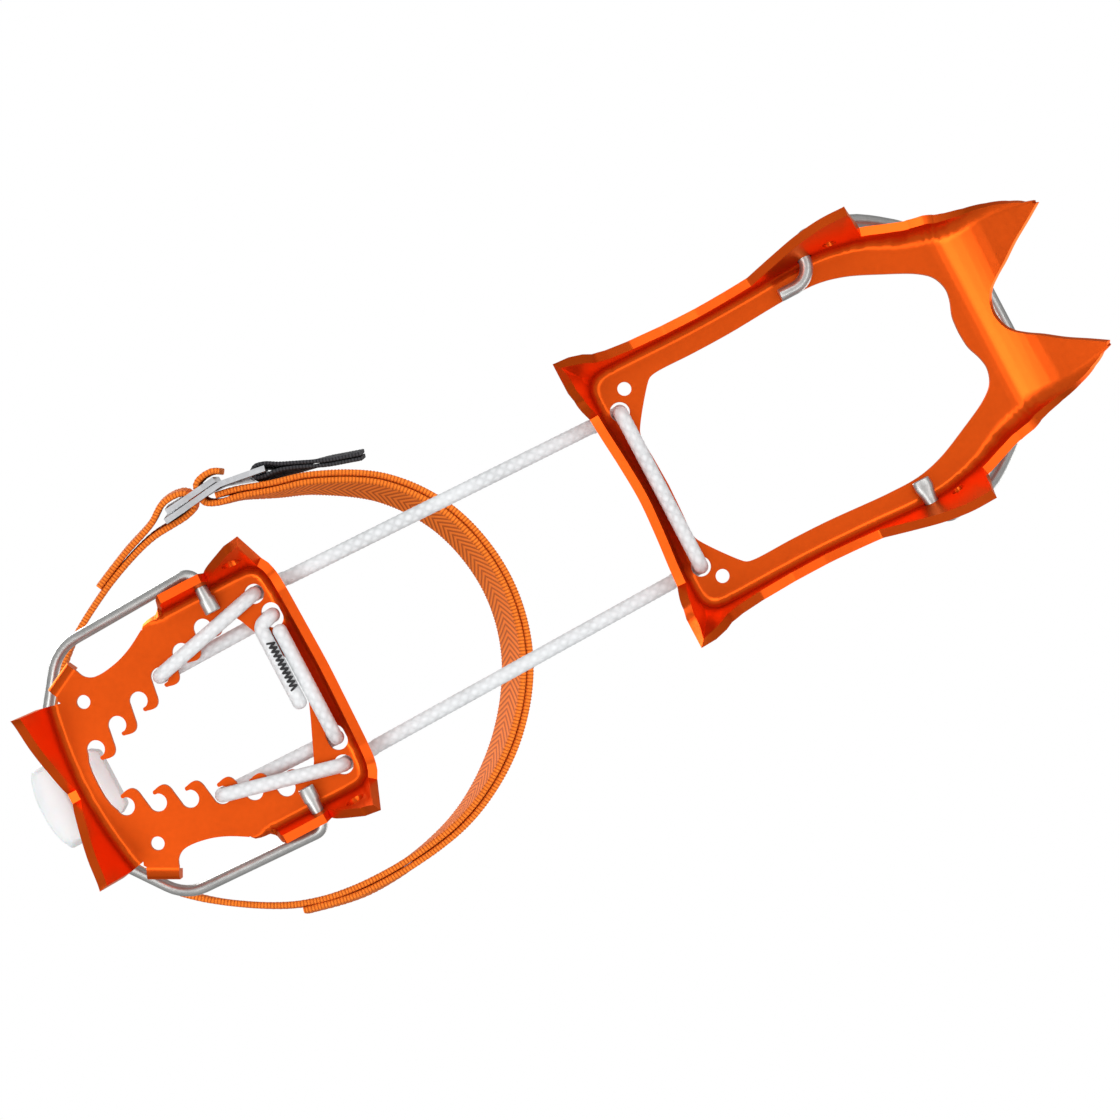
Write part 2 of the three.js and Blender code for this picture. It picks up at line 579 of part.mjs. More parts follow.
function strapPieces() {
  const tail = outside(STRAP_LEFT.slice(TAIL_END_INDEX, -2), LAYER);
  const inLever = LEVER_SIDE - TOUCH;
  const pieces = {
    strap_back: strip([[STRAP_BACK, -inLever], [STRAP_BACK, inLever]], 2),
    strap_left: strip([...STRAP_LEFT, ...LEFT_TURN], 64),
    strap_right: strip([...STRAP_RIGHT, ...RIGHT_TURN], 44),
    strap_tail: strip([...tail, ...TAIL_START.slice().reverse()], 36),
  };
  return Object.entries(pieces).map(([name, geometry]) => mesh(name, geometry, orangeWebbing));
}

// ---------------------------------------------------------------- buckle

const RING_HEIGHT = WEBBING_WIDTH + 6;
const OPENING_HEIGHT = WEBBING_WIDTH + 1.4;
const RING_OPENING = [[70.3, -60], [78.1, -60]];
const SHORT_RING = [[63.9, -66.7], [73, -67.4], [82, -67.9]];
const LONG_RING = [[62.2, -64.2], [72, -65.1], [81, -65.7], [84, -65.5], [97.2, -62.4]];

// A plate that stands on its edge, with an opening for the webbing between two bars.
function ring(outline, openings) {
  const tools = openings.map(([[x0, y0], [x1, y1], width]) => {
    const middle = (y0 + y1) / 2 - 5;
    const tip = strapTip((x0 + x1) / 2) * width / 2;
    return loft([x0, x1].map((x) => [
      vec(x, middle - 9 - tip, STRAP_HEIGHT - width / 2), vec(x, middle + 9 - tip, STRAP_HEIGHT - width / 2),
      vec(x, middle + 9 + tip, STRAP_HEIGHT + width / 2), vec(x, middle - 9 + tip, STRAP_HEIGHT + width / 2),
    ]));
  });
  return cut(strip(outline, 12, RING_HEIGHT, RING), ...tools);
}

function bucklePieces() {
  const webbingOpening = [...RING_OPENING, OPENING_HEIGHT];
  const tabOpening = [[91.4, -58], [94.8, -58], TAB_WIDTH + 2];
  return [
    mesh('buckle_short_ring', ring(SHORT_RING, [webbingOpening]), polished),
    mesh('buckle_long_ring', ring(LONG_RING, [webbingOpening, tabOpening]), polished),
  ];
}

// The pull tab is a folded strip of thin webbing, looped round the long ring's end bar.
function pullTab() {
  const route = [
    [126.4, -54.2], [112, -58.6], [102, -62], [97.4, -64.6], [94.6, -65.2], [92.9, -63.8], [93.4, -62],
    [95.6, -61.1], [98.6, -60.8], [101.6, -60.2], [112, -57], [126, -52.7],
  ];
  const tipAt = (x) => {
    const free = THREE.MathUtils.smoothstep(x, 98, 118); // from the bar to the tab's free part
    return THREE.MathUtils.lerp(strapTip(x), -LEAN, free);
  };
  return mesh('pull_tab', strip(route, 40, TAB_WIDTH, TAB_WEBBING, tipAt), blackWebbing);
}

// ---------------------------------------------------------------- heel lever

// The lever's arm is bowed across its width, with a tunnel for the webbing at its top and a catch
// that bears on the boot's heel welt at its foot.
function heelLever() {
  const half = LEVER_WIDTH / 2;
  const foot = LEVER_PIVOT - 10;
  const plan = new THREE.Shape();
  plan.moveTo(LEVER_FRONT, -half);
  plan.lineTo(LEVER_FRONT, half);
  plan.lineTo(-7.6, half);
  plan.quadraticCurveTo(-14.4, 0, -7.6, -half);
  const arm = common(slab(plan, foot, LEVER_TOP), sideSlab([
    [LEVER_FRONT, foot], [LEVER_FRONT, foot + 18], [-3, foot + 28], [-3, LEVER_TOP - 2], [-4.4, LEVER_TOP],
    [-9, LEVER_TOP], [-14, LEVER_TOP - 4], [-14, foot + 14], [-8, foot],
  ], half));
  const catchHalf = [[0, 11], [CATCH_REACH - 1.2, 12], [CATCH_REACH, 10.6]];
  const catchPlan = [...catchHalf, ...mirrorY(catchHalf).reverse()];
  const lipHalf = [[CATCH_REACH - 2.6, 11], [CATCH_REACH, 10.6]];
  const lipPlan = [...lipHalf, ...mirrorY(lipHalf).reverse()];
  const catchPlate = slab(shapeOf(catchPlan), foot + 5.5, foot + 9.5);
  const lip = slab(shapeOf(lipPlan), foot + 4, foot + 12.5);
  const bore = HEEL_WIRE / 2 + WIRE_PLAY;
  const gap = WEBBING / 2 + STRAP_PLAY;
  const tunnel = slab(shapeOf([
    [STRAP_BACK - gap, -half - 1], [STRAP_BACK + gap, -half - 1], [STRAP_BACK + gap, half + 1],
    [STRAP_BACK - gap, half + 1],
  ]), STRAP_HEIGHT - WEBBING_WIDTH / 2 - STRAP_PLAY, STRAP_HEIGHT + WEBBING_WIDTH / 2 + STRAP_PLAY);
  const wireBore = drillAcross(LEVER_PIVOT_X, LEVER_PIVOT, bore, bore, 12);
  return mesh('heel_lever', cut(join(arm, catchPlate, lip), wireBore, tunnel), plastic);
}

// ---------------------------------------------------------------- assembly

const crampon = new THREE.Group();
crampon.add(frontFrame(), heelFrame(), toeBail(), heelWire(), heelLever());
crampon.add(cordFrontBar(), cordHeelRun(1, 'left'), cordHeelRun(-1, 'right'), ...cordSplice());
crampon.add(...cordSpans(1, 'left'), ...cordSpans(-1, 'right'));
crampon.add(...strapPieces(), ...bucklePieces(), pullTab());

// The origin is below the middle of the whole object, on the ground.
const middle = new THREE.Box3().setFromObject(crampon).getCenter(new THREE.Vector3());
crampon.position.set(-middle.x, -middle.y, 0);

export default crampon;
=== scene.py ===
"""Looks for a ten-point crampon: sheet frames, wires, linking cord, ankle strap, buckle and lever.

Sizes are millimetres on the part's own drawing, x from the heel's rear tips and z from the points'
tips; place() turns them into metres in the shared frame.
"""
import math

import bmesh
import bpy
import numpy as np
from mathutils import Matrix, Vector


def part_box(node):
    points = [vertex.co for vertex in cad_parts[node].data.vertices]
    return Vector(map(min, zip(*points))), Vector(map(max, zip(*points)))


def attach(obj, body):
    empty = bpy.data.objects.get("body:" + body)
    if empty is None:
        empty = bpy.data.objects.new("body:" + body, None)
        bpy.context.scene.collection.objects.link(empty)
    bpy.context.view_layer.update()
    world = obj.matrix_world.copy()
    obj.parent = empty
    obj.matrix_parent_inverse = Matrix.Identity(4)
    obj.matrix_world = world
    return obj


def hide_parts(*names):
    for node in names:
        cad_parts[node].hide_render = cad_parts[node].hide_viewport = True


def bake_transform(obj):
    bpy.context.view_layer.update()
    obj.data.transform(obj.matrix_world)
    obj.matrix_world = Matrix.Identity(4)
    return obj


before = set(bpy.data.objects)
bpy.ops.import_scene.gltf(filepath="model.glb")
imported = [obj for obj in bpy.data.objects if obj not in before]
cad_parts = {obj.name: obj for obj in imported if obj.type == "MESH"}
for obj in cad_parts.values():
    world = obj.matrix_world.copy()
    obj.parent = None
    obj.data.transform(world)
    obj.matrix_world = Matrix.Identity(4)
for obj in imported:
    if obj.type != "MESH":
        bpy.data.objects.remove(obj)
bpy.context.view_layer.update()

bl_info = {
    "name": "Ten-point crampon",
    "version": (1, 0, 0),
    "blender": (4, 5, 0),
    "location": "View3D > Sidebar > Crampon",
    "description": "Builds the crampon's frames, wires, cord, strap and stage round its packed frame",
    "category": "Add Mesh",
}

# ---------------------------------------------------------------- the drawing's datum

MM = 0.001
LEVER_LOW, LEVER_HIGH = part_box("heel_lever")
CATCH_REACH = 15.2  # x of the lever's catch on the drawing
DATUM_X = LEVER_HIGH.x - CATCH_REACH * MM
DATUM_Y = (LEVER_LOW.y + LEVER_HIGH.y) / 2
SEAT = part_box("front_frame")[1].z / MM
SHEET = 2.8
UNDERSIDE = SEAT - SHEET
FRONT_X = 202  # the front frame's cord holes

CORD = 4.4
TOUCH = 0.3
CORD_OVER = SEAT + CORD / 2 + TOUCH
CORD_UNDER = UNDERSIDE - CORD / 2 - TOUCH
STRAP_HEIGHT = (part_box("strap_left")[0].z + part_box("strap_left")[1].z) / 2 / MM


def place(x, y, z):
    """A point of the drawing, in metres in the shared frame."""
    return Vector((DATUM_X + x * MM, DATUM_Y + y * MM, z * MM))


# ---------------------------------------------------------------- sizes and colours to change


class CramponSizes(bpy.types.PropertyGroup):
    """Sizes that shape the pieces' finish."""

    fold_radius: bpy.props.FloatProperty(
        name="Fold radius", description="Outer radius of the frames' folds", default=6.2 * MM, unit="LENGTH")
    edge_round: bpy.props.FloatProperty(
        name="Edge rounding", description="Rounding of the sheet's cut edges", default=0.45 * MM,
        unit="LENGTH")
    braid_pitch: bpy.props.FloatProperty(
        name="Braid pitch", description="Length of one crossing of the braid", default=1.7 * MM,
        unit="LENGTH")
    braid_relief: bpy.props.FloatProperty(
        name="Braid relief", description="How far the strands stand out", default=0.13 * MM, unit="LENGTH")
    rib_pitch: bpy.props.FloatProperty(
        name="Rib pitch", description="Distance between the webbing's ribs", default=2.1 * MM, unit="LENGTH")
    rib_relief: bpy.props.FloatProperty(
        name="Rib relief", description="How far the webbing's ribs stand out", default=0.22 * MM,
        unit="LENGTH")


def colour_property(name, description, default):
    return bpy.props.FloatVectorProperty(
        name=name, description=description, default=default, subtype="COLOR", min=0, max=1)


class CramponColours(bpy.types.PropertyGroup):
    """Colours of the finishes, linear."""

    anodised: colour_property("Anodised frames", "Colour of the anodised sheet", (0.7, 0.082, 0.0065))
    steel: colour_property("Wire", "Colour of the drawn wire", (0.42, 0.42, 0.41))
    lever: colour_property("Lever", "Colour of the moulded lever", (0.76, 0.8, 0.81))
    cord: colour_property("Cord", "Colour of the braided cord", (0.66, 0.675, 0.685))
    webbing: colour_property("Strap", "Colour of the strap's ribs", (0.86, 0.2, 0.02))
    # Painted shade: the darker colour that the strap gets in the hollows between its ribs.
    webbing_rib_shade: colour_property(
        "Strap, between ribs", "Colour between the strap's ribs", (0.5, 0.095, 0.01))
    tab: colour_property("Pull tab", "Colour of the pull tab", (0.05, 0.05, 0.055))
    buckle: colour_property("Buckle", "Colour of the buckle's rings", (0.66, 0.67, 0.69))
    thread: colour_property("Stitching", "Colour of the splice's stitching", (0.012, 0.012, 0.013))


# ---------------------------------------------------------------- material nodes


class Wire:
    """A socket of a material's nodes, with Python's operators for its maths."""

    def __init__(self, tree, socket):
        self.tree = tree
        self.socket = socket

    def node(self, kind, settings=None, inputs=None, output=0):
        """A new node: its settings are set first, then its sockets are set or linked."""
        made = self.tree.nodes.new(kind)
        for key, value in (settings or {}).items():
            if key == "stops":
                while len(made.color_ramp.elements) < len(value):
                    made.color_ramp.elements.new(0.5)
                for element, (position, colour) in zip(made.color_ramp.elements, value):
                    element.position = position
                    element.color = (*colour, 1)
            else:
                setattr(made, key, value)
        for key, value in (inputs or {}).items():
            if isinstance(value, Wire):
                self.tree.links.new(value.socket, made.inputs[key])
            else:
                made.inputs[key].default_value = value
        return Wire(self.tree, made.outputs[output])

    def math(self, operation, *values):
        """A Math node on this value and others."""
        return self.node("ShaderNodeMath", {"operation": operation}, dict(enumerate((self, *values))))

    def swapped(self, operation, value):
        return self.node("ShaderNodeMath", {"operation": operation}, {0: value, 1: self})

    def __add__(self, other):
        return self.math("ADD", other)

    def __sub__(self, other):
        return self.math("SUBTRACT", other)

    def __mul__(self, other):
        return self.math("MULTIPLY", other)

    def __rsub__(self, other):
        return self.swapped("SUBTRACT", other)

    __radd__ = __add__
    __rmul__ = __mul__

    def part(self, name):
        """One coordinate, X, Y or Z."""
        return self.node("ShaderNodeSeparateXYZ", inputs={0: self}, output=name)

    def stretched(self, *scale):
        """This vector, scaled along each axis."""
        return self.node("ShaderNodeVectorMath", {"operation": "MULTIPLY"}, {0: self, 1: scale})

    def noise(self, scale, detail=2.0):
        """Smooth noise from 0 to 1, at this many cells per metre."""
        return self.node("ShaderNodeTexNoise", inputs={"Vector": self, "Scale": scale, "Detail": detail})

    def ramp(self, *stops):
        """Colours along this value."""
        return self.node("ShaderNodeValToRGB", {"stops": stops}, {0: self})

    def wave(self, turns=1.0):
        """0 to 1 and back once for each whole number of this value times turns."""
        return (self * (2 * math.pi * turns)).math("COSINE") * 0.5 + 0.5

    def spread(self, low, high):
        """This value from 0 to 1, spread from low to high."""
        return self * (high - low) + low


class Finish:
    """A procedural material: its Principled shader, and the coordinates that its patterns follow."""

    def __init__(self, name, constants=None):
        self.material = bpy.data.materials.new(name)
        self.material.use_nodes = True
        self.tree = self.material.node_tree
        self.shader = self.tree.nodes["Principled BSDF"]
        for socket, value in (constants or {}).items():
            self.shader.inputs[socket].default_value = value
        coordinates = self.tree.nodes.new("ShaderNodeTexCoord")
        self.place = Wire(self.tree, coordinates.outputs["Object"])
        self.uv = Wire(self.tree, coordinates.outputs["UV"])

    def feed(self, socket, value):
        self.tree.links.new(value.socket, self.shader.inputs[socket])

    def bump(self, height, distance, strength=1.0):
        """Fine relief, its height in metres per unit."""
        self.feed("Normal", height.node(
            "ShaderNodeBump", inputs={"Height": height, "Distance": distance, "Strength": strength}))


def shades(colour, *factors):
    """A colour, darker or lighter by each factor."""
    return [tuple(min(1.0, c * factor) for c in colour) for factor in factors]


def anodised_finish(colours):
    finish = Finish("anodised_aluminium", {"Metallic": 0.9, "Specular Tint": (1, 0.5, 0.22, 1)})
    broad = finish.place.noise(34, 3)
    fine = finish.place.noise(2400, 2)
    satin = finish.place.noise(700, 3)
    deep, usual, bright = shades(colours.anodised, 0.94, 1, 1.05)
    finish.feed("Base Color", (broad * 0.7 + satin * 0.3).ramp((0.32, deep), (0.5, usual), (0.7, bright)))
    finish.feed("Roughness", (broad * 0.5 + satin * 0.5).spread(0.24, 0.36))
    finish.bump(fine * 0.7 + satin * 0.3, 0.000006)
    return finish.material


def steel_finish(colours):
    finish = Finish("drawn_wire", {"Metallic": 0.85})
    drawn = finish.place.noise(900, 3)
    mottle = finish.place.noise(160, 3)
    dark, usual, bright = shades(colours.steel, 0.86, 1, 1.12)
    finish.feed("Base Color", (drawn * 0.5 + mottle * 0.5).ramp((0.3, dark), (0.5, usual), (0.72, bright)))
    finish.feed("Roughness", mottle.spread(0.3, 0.42))
    finish.bump(drawn, 0.000004)
    return finish.material


def lever_finish(colours):
    finish = Finish("moulded_lever", {"Subsurface Weight": 0.2, "Subsurface Scale": 0.002})
    cloud = finish.place.noise(90, 3)
    grain = finish.place.noise(5200, 2)
    dull, usual, bright = shades(colours.lever, 0.93, 1, 1.04)
    finish.feed("Base Color", cloud.ramp((0.3, dull), (0.5, usual), (0.7, bright)))
    finish.feed("Roughness", cloud.spread(0.34, 0.52))
    finish.bump(grain, 0.00003)
    return finish.material


def cord_finish(colours):
    finish = Finish("braided_cord", {"Specular IOR Level": 0.2})
    along = finish.uv.part("X")
    around = finish.uv.part("Y")
    left = (along + around * BRAID_STRANDS).wave(0.5)
    right = (along - around * BRAID_STRANDS).wave(0.5)
    strand = left * right
    yarn = finish.uv.stretched(3, 60, 1).noise(3, 3)
    soil = finish.place.noise(70, 3)
    # Painted shade and highlight: the colour darkens in the grooves between the braid's strands and lightens
    # on their crests, mixed with random yarn and mottle tones.
    groove_shade_and_mottle, usual, bright = shades(colours.cord, 0.66, 0.97, 1.1)
    finish.feed("Base Color", (strand * 0.25 + yarn * 0.4 + soil * 0.35).ramp(
        (0.2, groove_shade_and_mottle), (0.4, usual), (0.66, bright)))
    finish.feed("Roughness", yarn.spread(0.7, 0.95))
    finish.bump(yarn * 0.5 + strand * 0.5, 0.0002)
    return finish.material


def webbing_finish(name, ribs, between):
    """Ribbed webbing, its colour painted with shade between the ribs and a highlight on their crests: u along
    it in rib pitches, v across it from -1 to 1.
    """
    finish = Finish(name, {"Specular IOR Level": 0.12})
    along = finish.uv.part("X")
    across = finish.uv.part("Y")
    off_centre = across.math("ABSOLUTE")
    rib = (along + off_centre * RIB_LEAN).wave()
    yarn = (along * 5 - off_centre * 9).wave() * (across * 22).wave()
    edge = off_centre.math("GREATER_THAN", SELVEDGE)
    dots = (along * 2).wave()
    height = rib * (1 - edge) + dots * edge
    fuzz = finish.place.noise(3000, 3)
    # Painted shade and highlight: the colour follows the ribs' height, darkest in the hollows between them
    # (between) and lightest on their crests, with a woven pattern and random fuzz mixed in.
    shaded_rib_tone = height * 0.72 + yarn * 0.13 + fuzz * 0.15
    finish.feed("Base Color", shaded_rib_tone.ramp((0.16, between), (0.5, ribs), (0.95, shades(ribs, 1.22)[0])))
    finish.feed("Roughness", fuzz.spread(0.62, 0.9))
    finish.bump(height * 0.4 + yarn * 0.4 + fuzz * 0.2, 0.00018)
    return finish.material


def buckle_finish(colours):
    finish = Finish("polished_buckle", {"Metallic": 1.0})
    scratch = finish.place.stretched(1, 1, 8).noise(700, 4)
    cloud = finish.place.noise(110, 2)
    dark, usual, bright = shades(colours.buckle, 0.82, 1, 1.12)
    finish.feed("Base Color", cloud.ramp((0.3, dark), (0.5, usual), (0.7, bright)))
    finish.feed("Roughness", scratch.spread(0.12, 0.34))
    finish.bump(scratch, 0.00002)
    return finish.material


def thread_finish(colours):
    finish = Finish("stitching_thread")
    twist = finish.place.noise(2400, 3)
    dark, usual = shades(colours.thread, 0.6, 1.6)
    finish.feed("Base Color", twist.ramp((0.35, dark), (0.65, usual)))
    finish.feed("Roughness", twist.spread(0.6, 0.85))
    finish.bump(twist, 0.0001)
    return finish.material


BRAID_STRANDS = 8  # strands that run each way round the cord
RIB_LEAN = 2.4  # how far a rib leans along the strap, in pitches from its middle to its edge
SELVEDGE = 0.86  # where the webbing's woven edge begins, from its middle at 0 to its edge at 1
MATERIALS = {}


def materials():
    """The finishes, made once."""
    if not MATERIALS:
        colours = bpy.context.scene.crampon_colours
        MATERIALS["anodised_frame"] = anodised_finish(colours)
        MATERIALS["steel_wire"] = steel_finish(colours)
        MATERIALS["lever_plastic"] = lever_finish(colours)
        MATERIALS["link_cord"] = cord_finish(colours)
        # Both webbings get painted shade between their ribs: the strap's from its own setting, the pull tab's
        # at 0.35 of its colour.
        MATERIALS["orange_webbing"] = webbing_finish(
            "ribbed_webbing", tuple(colours.webbing), tuple(colours.webbing_rib_shade))
        MATERIALS["black_webbing"] = webbing_finish(
            "dark_webbing", tuple(colours.tab), shades(colours.tab, 0.35)[0])
        MATERIALS["buckle_metal"] = buckle_finish(colours)
        MATERIALS["thread"] = thread_finish(colours)
    return MATERIALS


# ---------------------------------------------------------------- mesh helpers


def select_only(*objects):
    bpy.ops.object.select_all(action="DESELECT")
    for obj in objects:
        obj.select_set(True)
    bpy.context.view_layer.objects.active = objects[0]


def modify(obj, kind, **settings):
    """Adds a modifier to a piece and applies it."""
    modifier = obj.modifiers.new(kind.title(), kind)
    for key, value in settings.items():
        setattr(modifier, key, value)
    select_only(obj)
    bpy.ops.object.modifier_apply(modifier=modifier.name)
    return obj


def new_object(name, mesh):
    obj = bpy.data.objects.new(name, mesh)
    bpy.context.scene.collection.objects.link(obj)
    return obj


def from_faces(name, points, faces):
    mesh = bpy.data.meshes.new(name)
    mesh.from_pydata([tuple(p) for p in points], [], faces)
    mesh.validate()
    return new_object(name, mesh)


def smooth(obj, degrees=35):
    select_only(obj)
    bpy.ops.object.shade_smooth_by_angle(angle=math.radians(degrees))
    return obj


def dress(obj, body, slot, *nodes, finish=None):
    """Gives a finished piece the material named by its slot or by finish, puts it under its body if one is
    named, and hides the nodes that it stands for.
    """
    obj.data.materials.clear()
    obj.data.materials.append(materials()[finish or slot])
    if isinstance(body, str):
        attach(obj, body)
    if nodes:
        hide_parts(*nodes)
    return obj


def through(points, steps):
    """A smooth curve through points: x and y turn smoothly, and any further numbers change evenly."""
    rows = [np.array(p, float) for p in points]
    count = len(rows)
    out = []
    for i in range(count - 1):
        at = [rows[min(max(i + k, 0), count - 1)] for k in (-1, 0, 1, 2)]
        knots = [0.0]
        for a, b in zip(at, at[1:]):
            knots.append(knots[-1] + max(float(np.linalg.norm((b - a)[:2])), 1e-3) ** 0.5)
        pieces = max(1, round(float(np.linalg.norm((at[2] - at[1])[:2])) / steps))
        for k in range(pieces):
            share = k / pieces
            t = knots[1] + share * (knots[2] - knots[1])

            def mix(p, q, low, high):
                return p * (high - t) / (high - low) + q * (t - low) / (high - low)

            first = [mix(at[j], at[j + 1], knots[j], knots[j + 1]) for j in range(3)]
            second = [mix(first[j], first[j + 1], knots[j], knots[j + 2]) for j in range(2)]
            curve = mix(second[0], second[1], knots[1], knots[2])
            line = at[1] + (at[2] - at[1]) * share
            out.append(np.concatenate([curve[:2], line[2:]]))
    out.append(rows[-1])
    return out


def mirrored(points):
    return [[p[0], -p[1], *p[2:]] for p in points]


def both_sides(points):
    """Points that end on the middle line, and on from there to their mirror image."""
    return [*points, *reversed(mirrored(points)[:-1])]


# ---------------------------------------------------------------- folded sheet

ARC_ROWS = 8
WALL_ROWS = 6


def folded_section(depth, splay, radius):
    """Steps (out, down) across a fold, from where the sheet leaves the plate to its free edge."""
    turn = math.pi / 2 - math.atan(splay)
    arc_drop = radius * (1 - math.cos(turn))
    if depth < arc_drop:
        turn = math.acos(1 - depth / radius)
        wall = 0
    else:
        wall = (depth - arc_drop) / math.sin(turn)
    steps = [(radius * math.sin(turn * k / ARC_ROWS), radius * (1 - math.cos(turn * k / ARC_ROWS)))
             for k in range(ARC_ROWS + 1)]
    end_out, end_down = steps[-1]
    for k in range(1, WALL_ROWS + 1):
        length = wall * k / WALL_ROWS
        steps.append((end_out + length * math.cos(turn), end_down + length * math.sin(turn)))
    return steps


class Sheet:
    """The upper surface of a pressed frame: a plate, and walls folded down from parts of its edge."""

    def __init__(self, seat=lambda x: SEAT):
        self.seat = seat
        self.mesh = bmesh.new()
        self.outline = []

    def point(self, x, y, down=0.0, at=None):
        return self.mesh.verts.new((x, y, self.seat(x if at is None else at) - down))

    def plain(self, points):
        """An edge with no wall."""
        self.outline += [self.point(p[0], p[1]) for p in points]

    def wall(self, stations):
        """A wall folded down along the edge, the plate on its left.

        Each station is [x, y, depth, splay, ease]: where the fold starts, how deep the wall is, how far it
        leans out, and how much rounder than usual its fold is.
        """
        rows = []
        fold = bpy.context.scene.crampon_sizes.fold_radius / MM
        for i, (x, y, depth, splay, ease) in enumerate(stations):
            ahead = stations[min(i + 1, len(stations) - 1)]
            behind = stations[max(i - 1, 0)]
            along = Vector((ahead[0] - behind[0], ahead[1] - behind[1])).normalized()
            out = (along.y, -along.x)
            rows.append([self.point(x + out[0] * o, y + out[1] * o, down, at=x)
                         for o, down in folded_section(depth, splay, fold * ease)])
        for a, b in zip(rows, rows[1:]):
            for k in range(len(a) - 1):
                self.mesh.faces.new((a[k], a[k + 1], b[k + 1], b[k]))
        self.outline += [row[0] for row in rows]

    def tab(self, ends, offset, height):
        """A tab folded up from the edge between two points, the plate on its left."""
        start, end = (Vector(p) for p in ends)
        along = (end - start).normalized()
        out = Vector((along.y, -along.x))
        inner = offset - SHEET
        section = [(inner * math.sin(a), -inner * (1 - math.cos(a)))
                   for a in (math.radians(15 * k) for k in range(7))]
        section += [(inner, -inner - (height - inner) * k / 4) for k in range(1, 5)]
        rows = []
        for k in range(7):
            p = start.lerp(end, k / 6)
            rows.append([self.point(p.x + out.x * o, p.y + out.y * o, down) for o, down in section])
        for a, b in zip(rows, rows[1:]):
            for k in range(len(a) - 1):
                self.mesh.faces.new((a[k], a[k + 1], b[k + 1], b[k]))
        self.outline += [row[0] for row in rows]

    def finish(self, name, bends=()):
        """The plate between the edges, bent at these x positions, as an object in drawing sizes."""
        loop = []
        for vertex in self.outline:
            if not loop or (vertex.co - loop[-1].co).length > 0.02:
                loop.append(vertex)
        flat = self.mesh.faces.new(loop)
        for x in bends:
            plate = [f for f in self.mesh.faces if len(f.verts) > 4 or f is flat]
            edges = list({e for f in plate for e in f.edges})
            corners = list({v for f in plate for v in f.verts})
            bmesh.ops.bisect_plane(
                self.mesh, geom=plate + edges + corners, dist=0.02, plane_co=(x, 0, 0), plane_no=(1, 0, 0))
        for vertex in {v for f in self.mesh.faces if len(f.verts) > 4 for v in f.verts}:
            if vertex.co.x > TOE_BENDS[0][0]:
                vertex.co.z = self.seat(vertex.co.x)
        bmesh.ops.remove_doubles(self.mesh, verts=self.mesh.verts, dist=0.02)
        bmesh.ops.dissolve_degenerate(self.mesh, edges=self.mesh.edges, dist=0.005)
        mesh = bpy.data.meshes.new(name)
        self.mesh.to_mesh(mesh)
        self.mesh.free()
        return new_object(name, mesh)


def prism(mesh, outline, low, high, matrix=Matrix()):
    """Adds a closed prism on a plan outline to a bmesh."""
    bottom = [mesh.verts.new(matrix @ Vector((x, y, low))) for x, y in outline]
    top = [mesh.verts.new(matrix @ Vector((x, y, high))) for x, y in outline]
    mesh.faces.new(bottom[::-1])
    mesh.faces.new(top)
    count = len(outline)
    for i in range(count):
        j = (i + 1) % count
        mesh.faces.new((bottom[i], bottom[j], top[j], top[i]))


def arc(cx, cy, radius, start, end, steps, stretch=1.0):
    """Points round a circle, in degrees; stretch lengthens it along y."""
    angles = [math.radians(start + (end - start) * k / steps) for k in range(steps + 1)]
    return [(cx + radius * math.cos(a), cy + radius * stretch * math.sin(a)) for a in angles]


def circle(cx, cy, radius, steps=32, stretch=1.0):
    return arc(cx, cy, radius, 0, 360 * (steps - 1) / steps, steps - 1, stretch)


def oval(cx, cy, radius, straight):
    """A slot along y: two half circles, their centres this far from the middle."""
    return arc(cx, cy + straight, radius, 0, 180, 16) + arc(cx, cy - straight, radius, 180, 360, 16)


ACROSS = Matrix.Rotation(math.radians(90), 4, "X")  # turns a prism's plan into a side view


def press(sheet, plan_cuts, side_cuts):
    """Gives a sheet its thickness, cuts its openings and holes, and rounds its edges."""
    modify(sheet, "SOLIDIFY", thickness=SHEET, offset=-1, use_even_offset=False, use_quality_normals=True)
    cutter_mesh = bmesh.new()
    for outline in plan_cuts:
        prism(cutter_mesh, outline, UNDERSIDE - 9, SEAT + 4)
    for outline in side_cuts:
        for low, high in ((-62, -24), (24, 62)):
            prism(cutter_mesh, outline, low, high, ACROSS)
    bmesh.ops.recalc_face_normals(cutter_mesh, faces=cutter_mesh.faces)
    mesh = bpy.data.meshes.new("cutter")
    cutter_mesh.to_mesh(mesh)
    cutter_mesh.free()
    cutter = new_object("cutter", mesh)
    modify(sheet, "BOOLEAN", operation="DIFFERENCE", solver="EXACT", object=cutter)
    bpy.data.objects.remove(cutter)
    sizes = bpy.context.scene.crampon_sizes
    modify(sheet, "BEVEL", width=sizes.edge_round / MM, segments=2, limit_method="ANGLE",
           angle_limit=math.radians(48), use_clamp_overlap=True)
    smooth(sheet, 40)
    modify(sheet, "WEIGHTED_NORMAL", mode="FACE_AREA_WITH_ANGLE", weight=60, keep_sharp=True)
    sheet.data.transform(Matrix.Translation((DATUM_X, DATUM_Y, 0)) @ Matrix.Scale(MM, 4))
    return sheet


# ---------------------------------------------------------------- heel frame

REACH = 5.05  # from a fold's start to the corner that its faces would meet in
HEEL_SIDE_Y = 38.5
EAR_X = 67.5
HEEL_HOLE = (80.3, 28.7)
BAR_SLOT = (82.2, 20.6)
HOOKS = 6
HOOK_IN_USE = 3
FIRST_HOOK = (17, 9.6)
HOOK_PITCH = (9, 3.45)
HOOK_RADIUS = CORD / 2 + 0.55
WIRE_DROP = 8
HEEL_WIRE = 3.5
SMALL_HOLE = 2.1
TAB_BASE = [(14.2, 28.3), (22.8, 32.8)]


def hook_centre(i):
    return FIRST_HOOK[0] + i * HOOK_PITCH[0], FIRST_HOOK[1] + i * HOOK_PITCH[1]


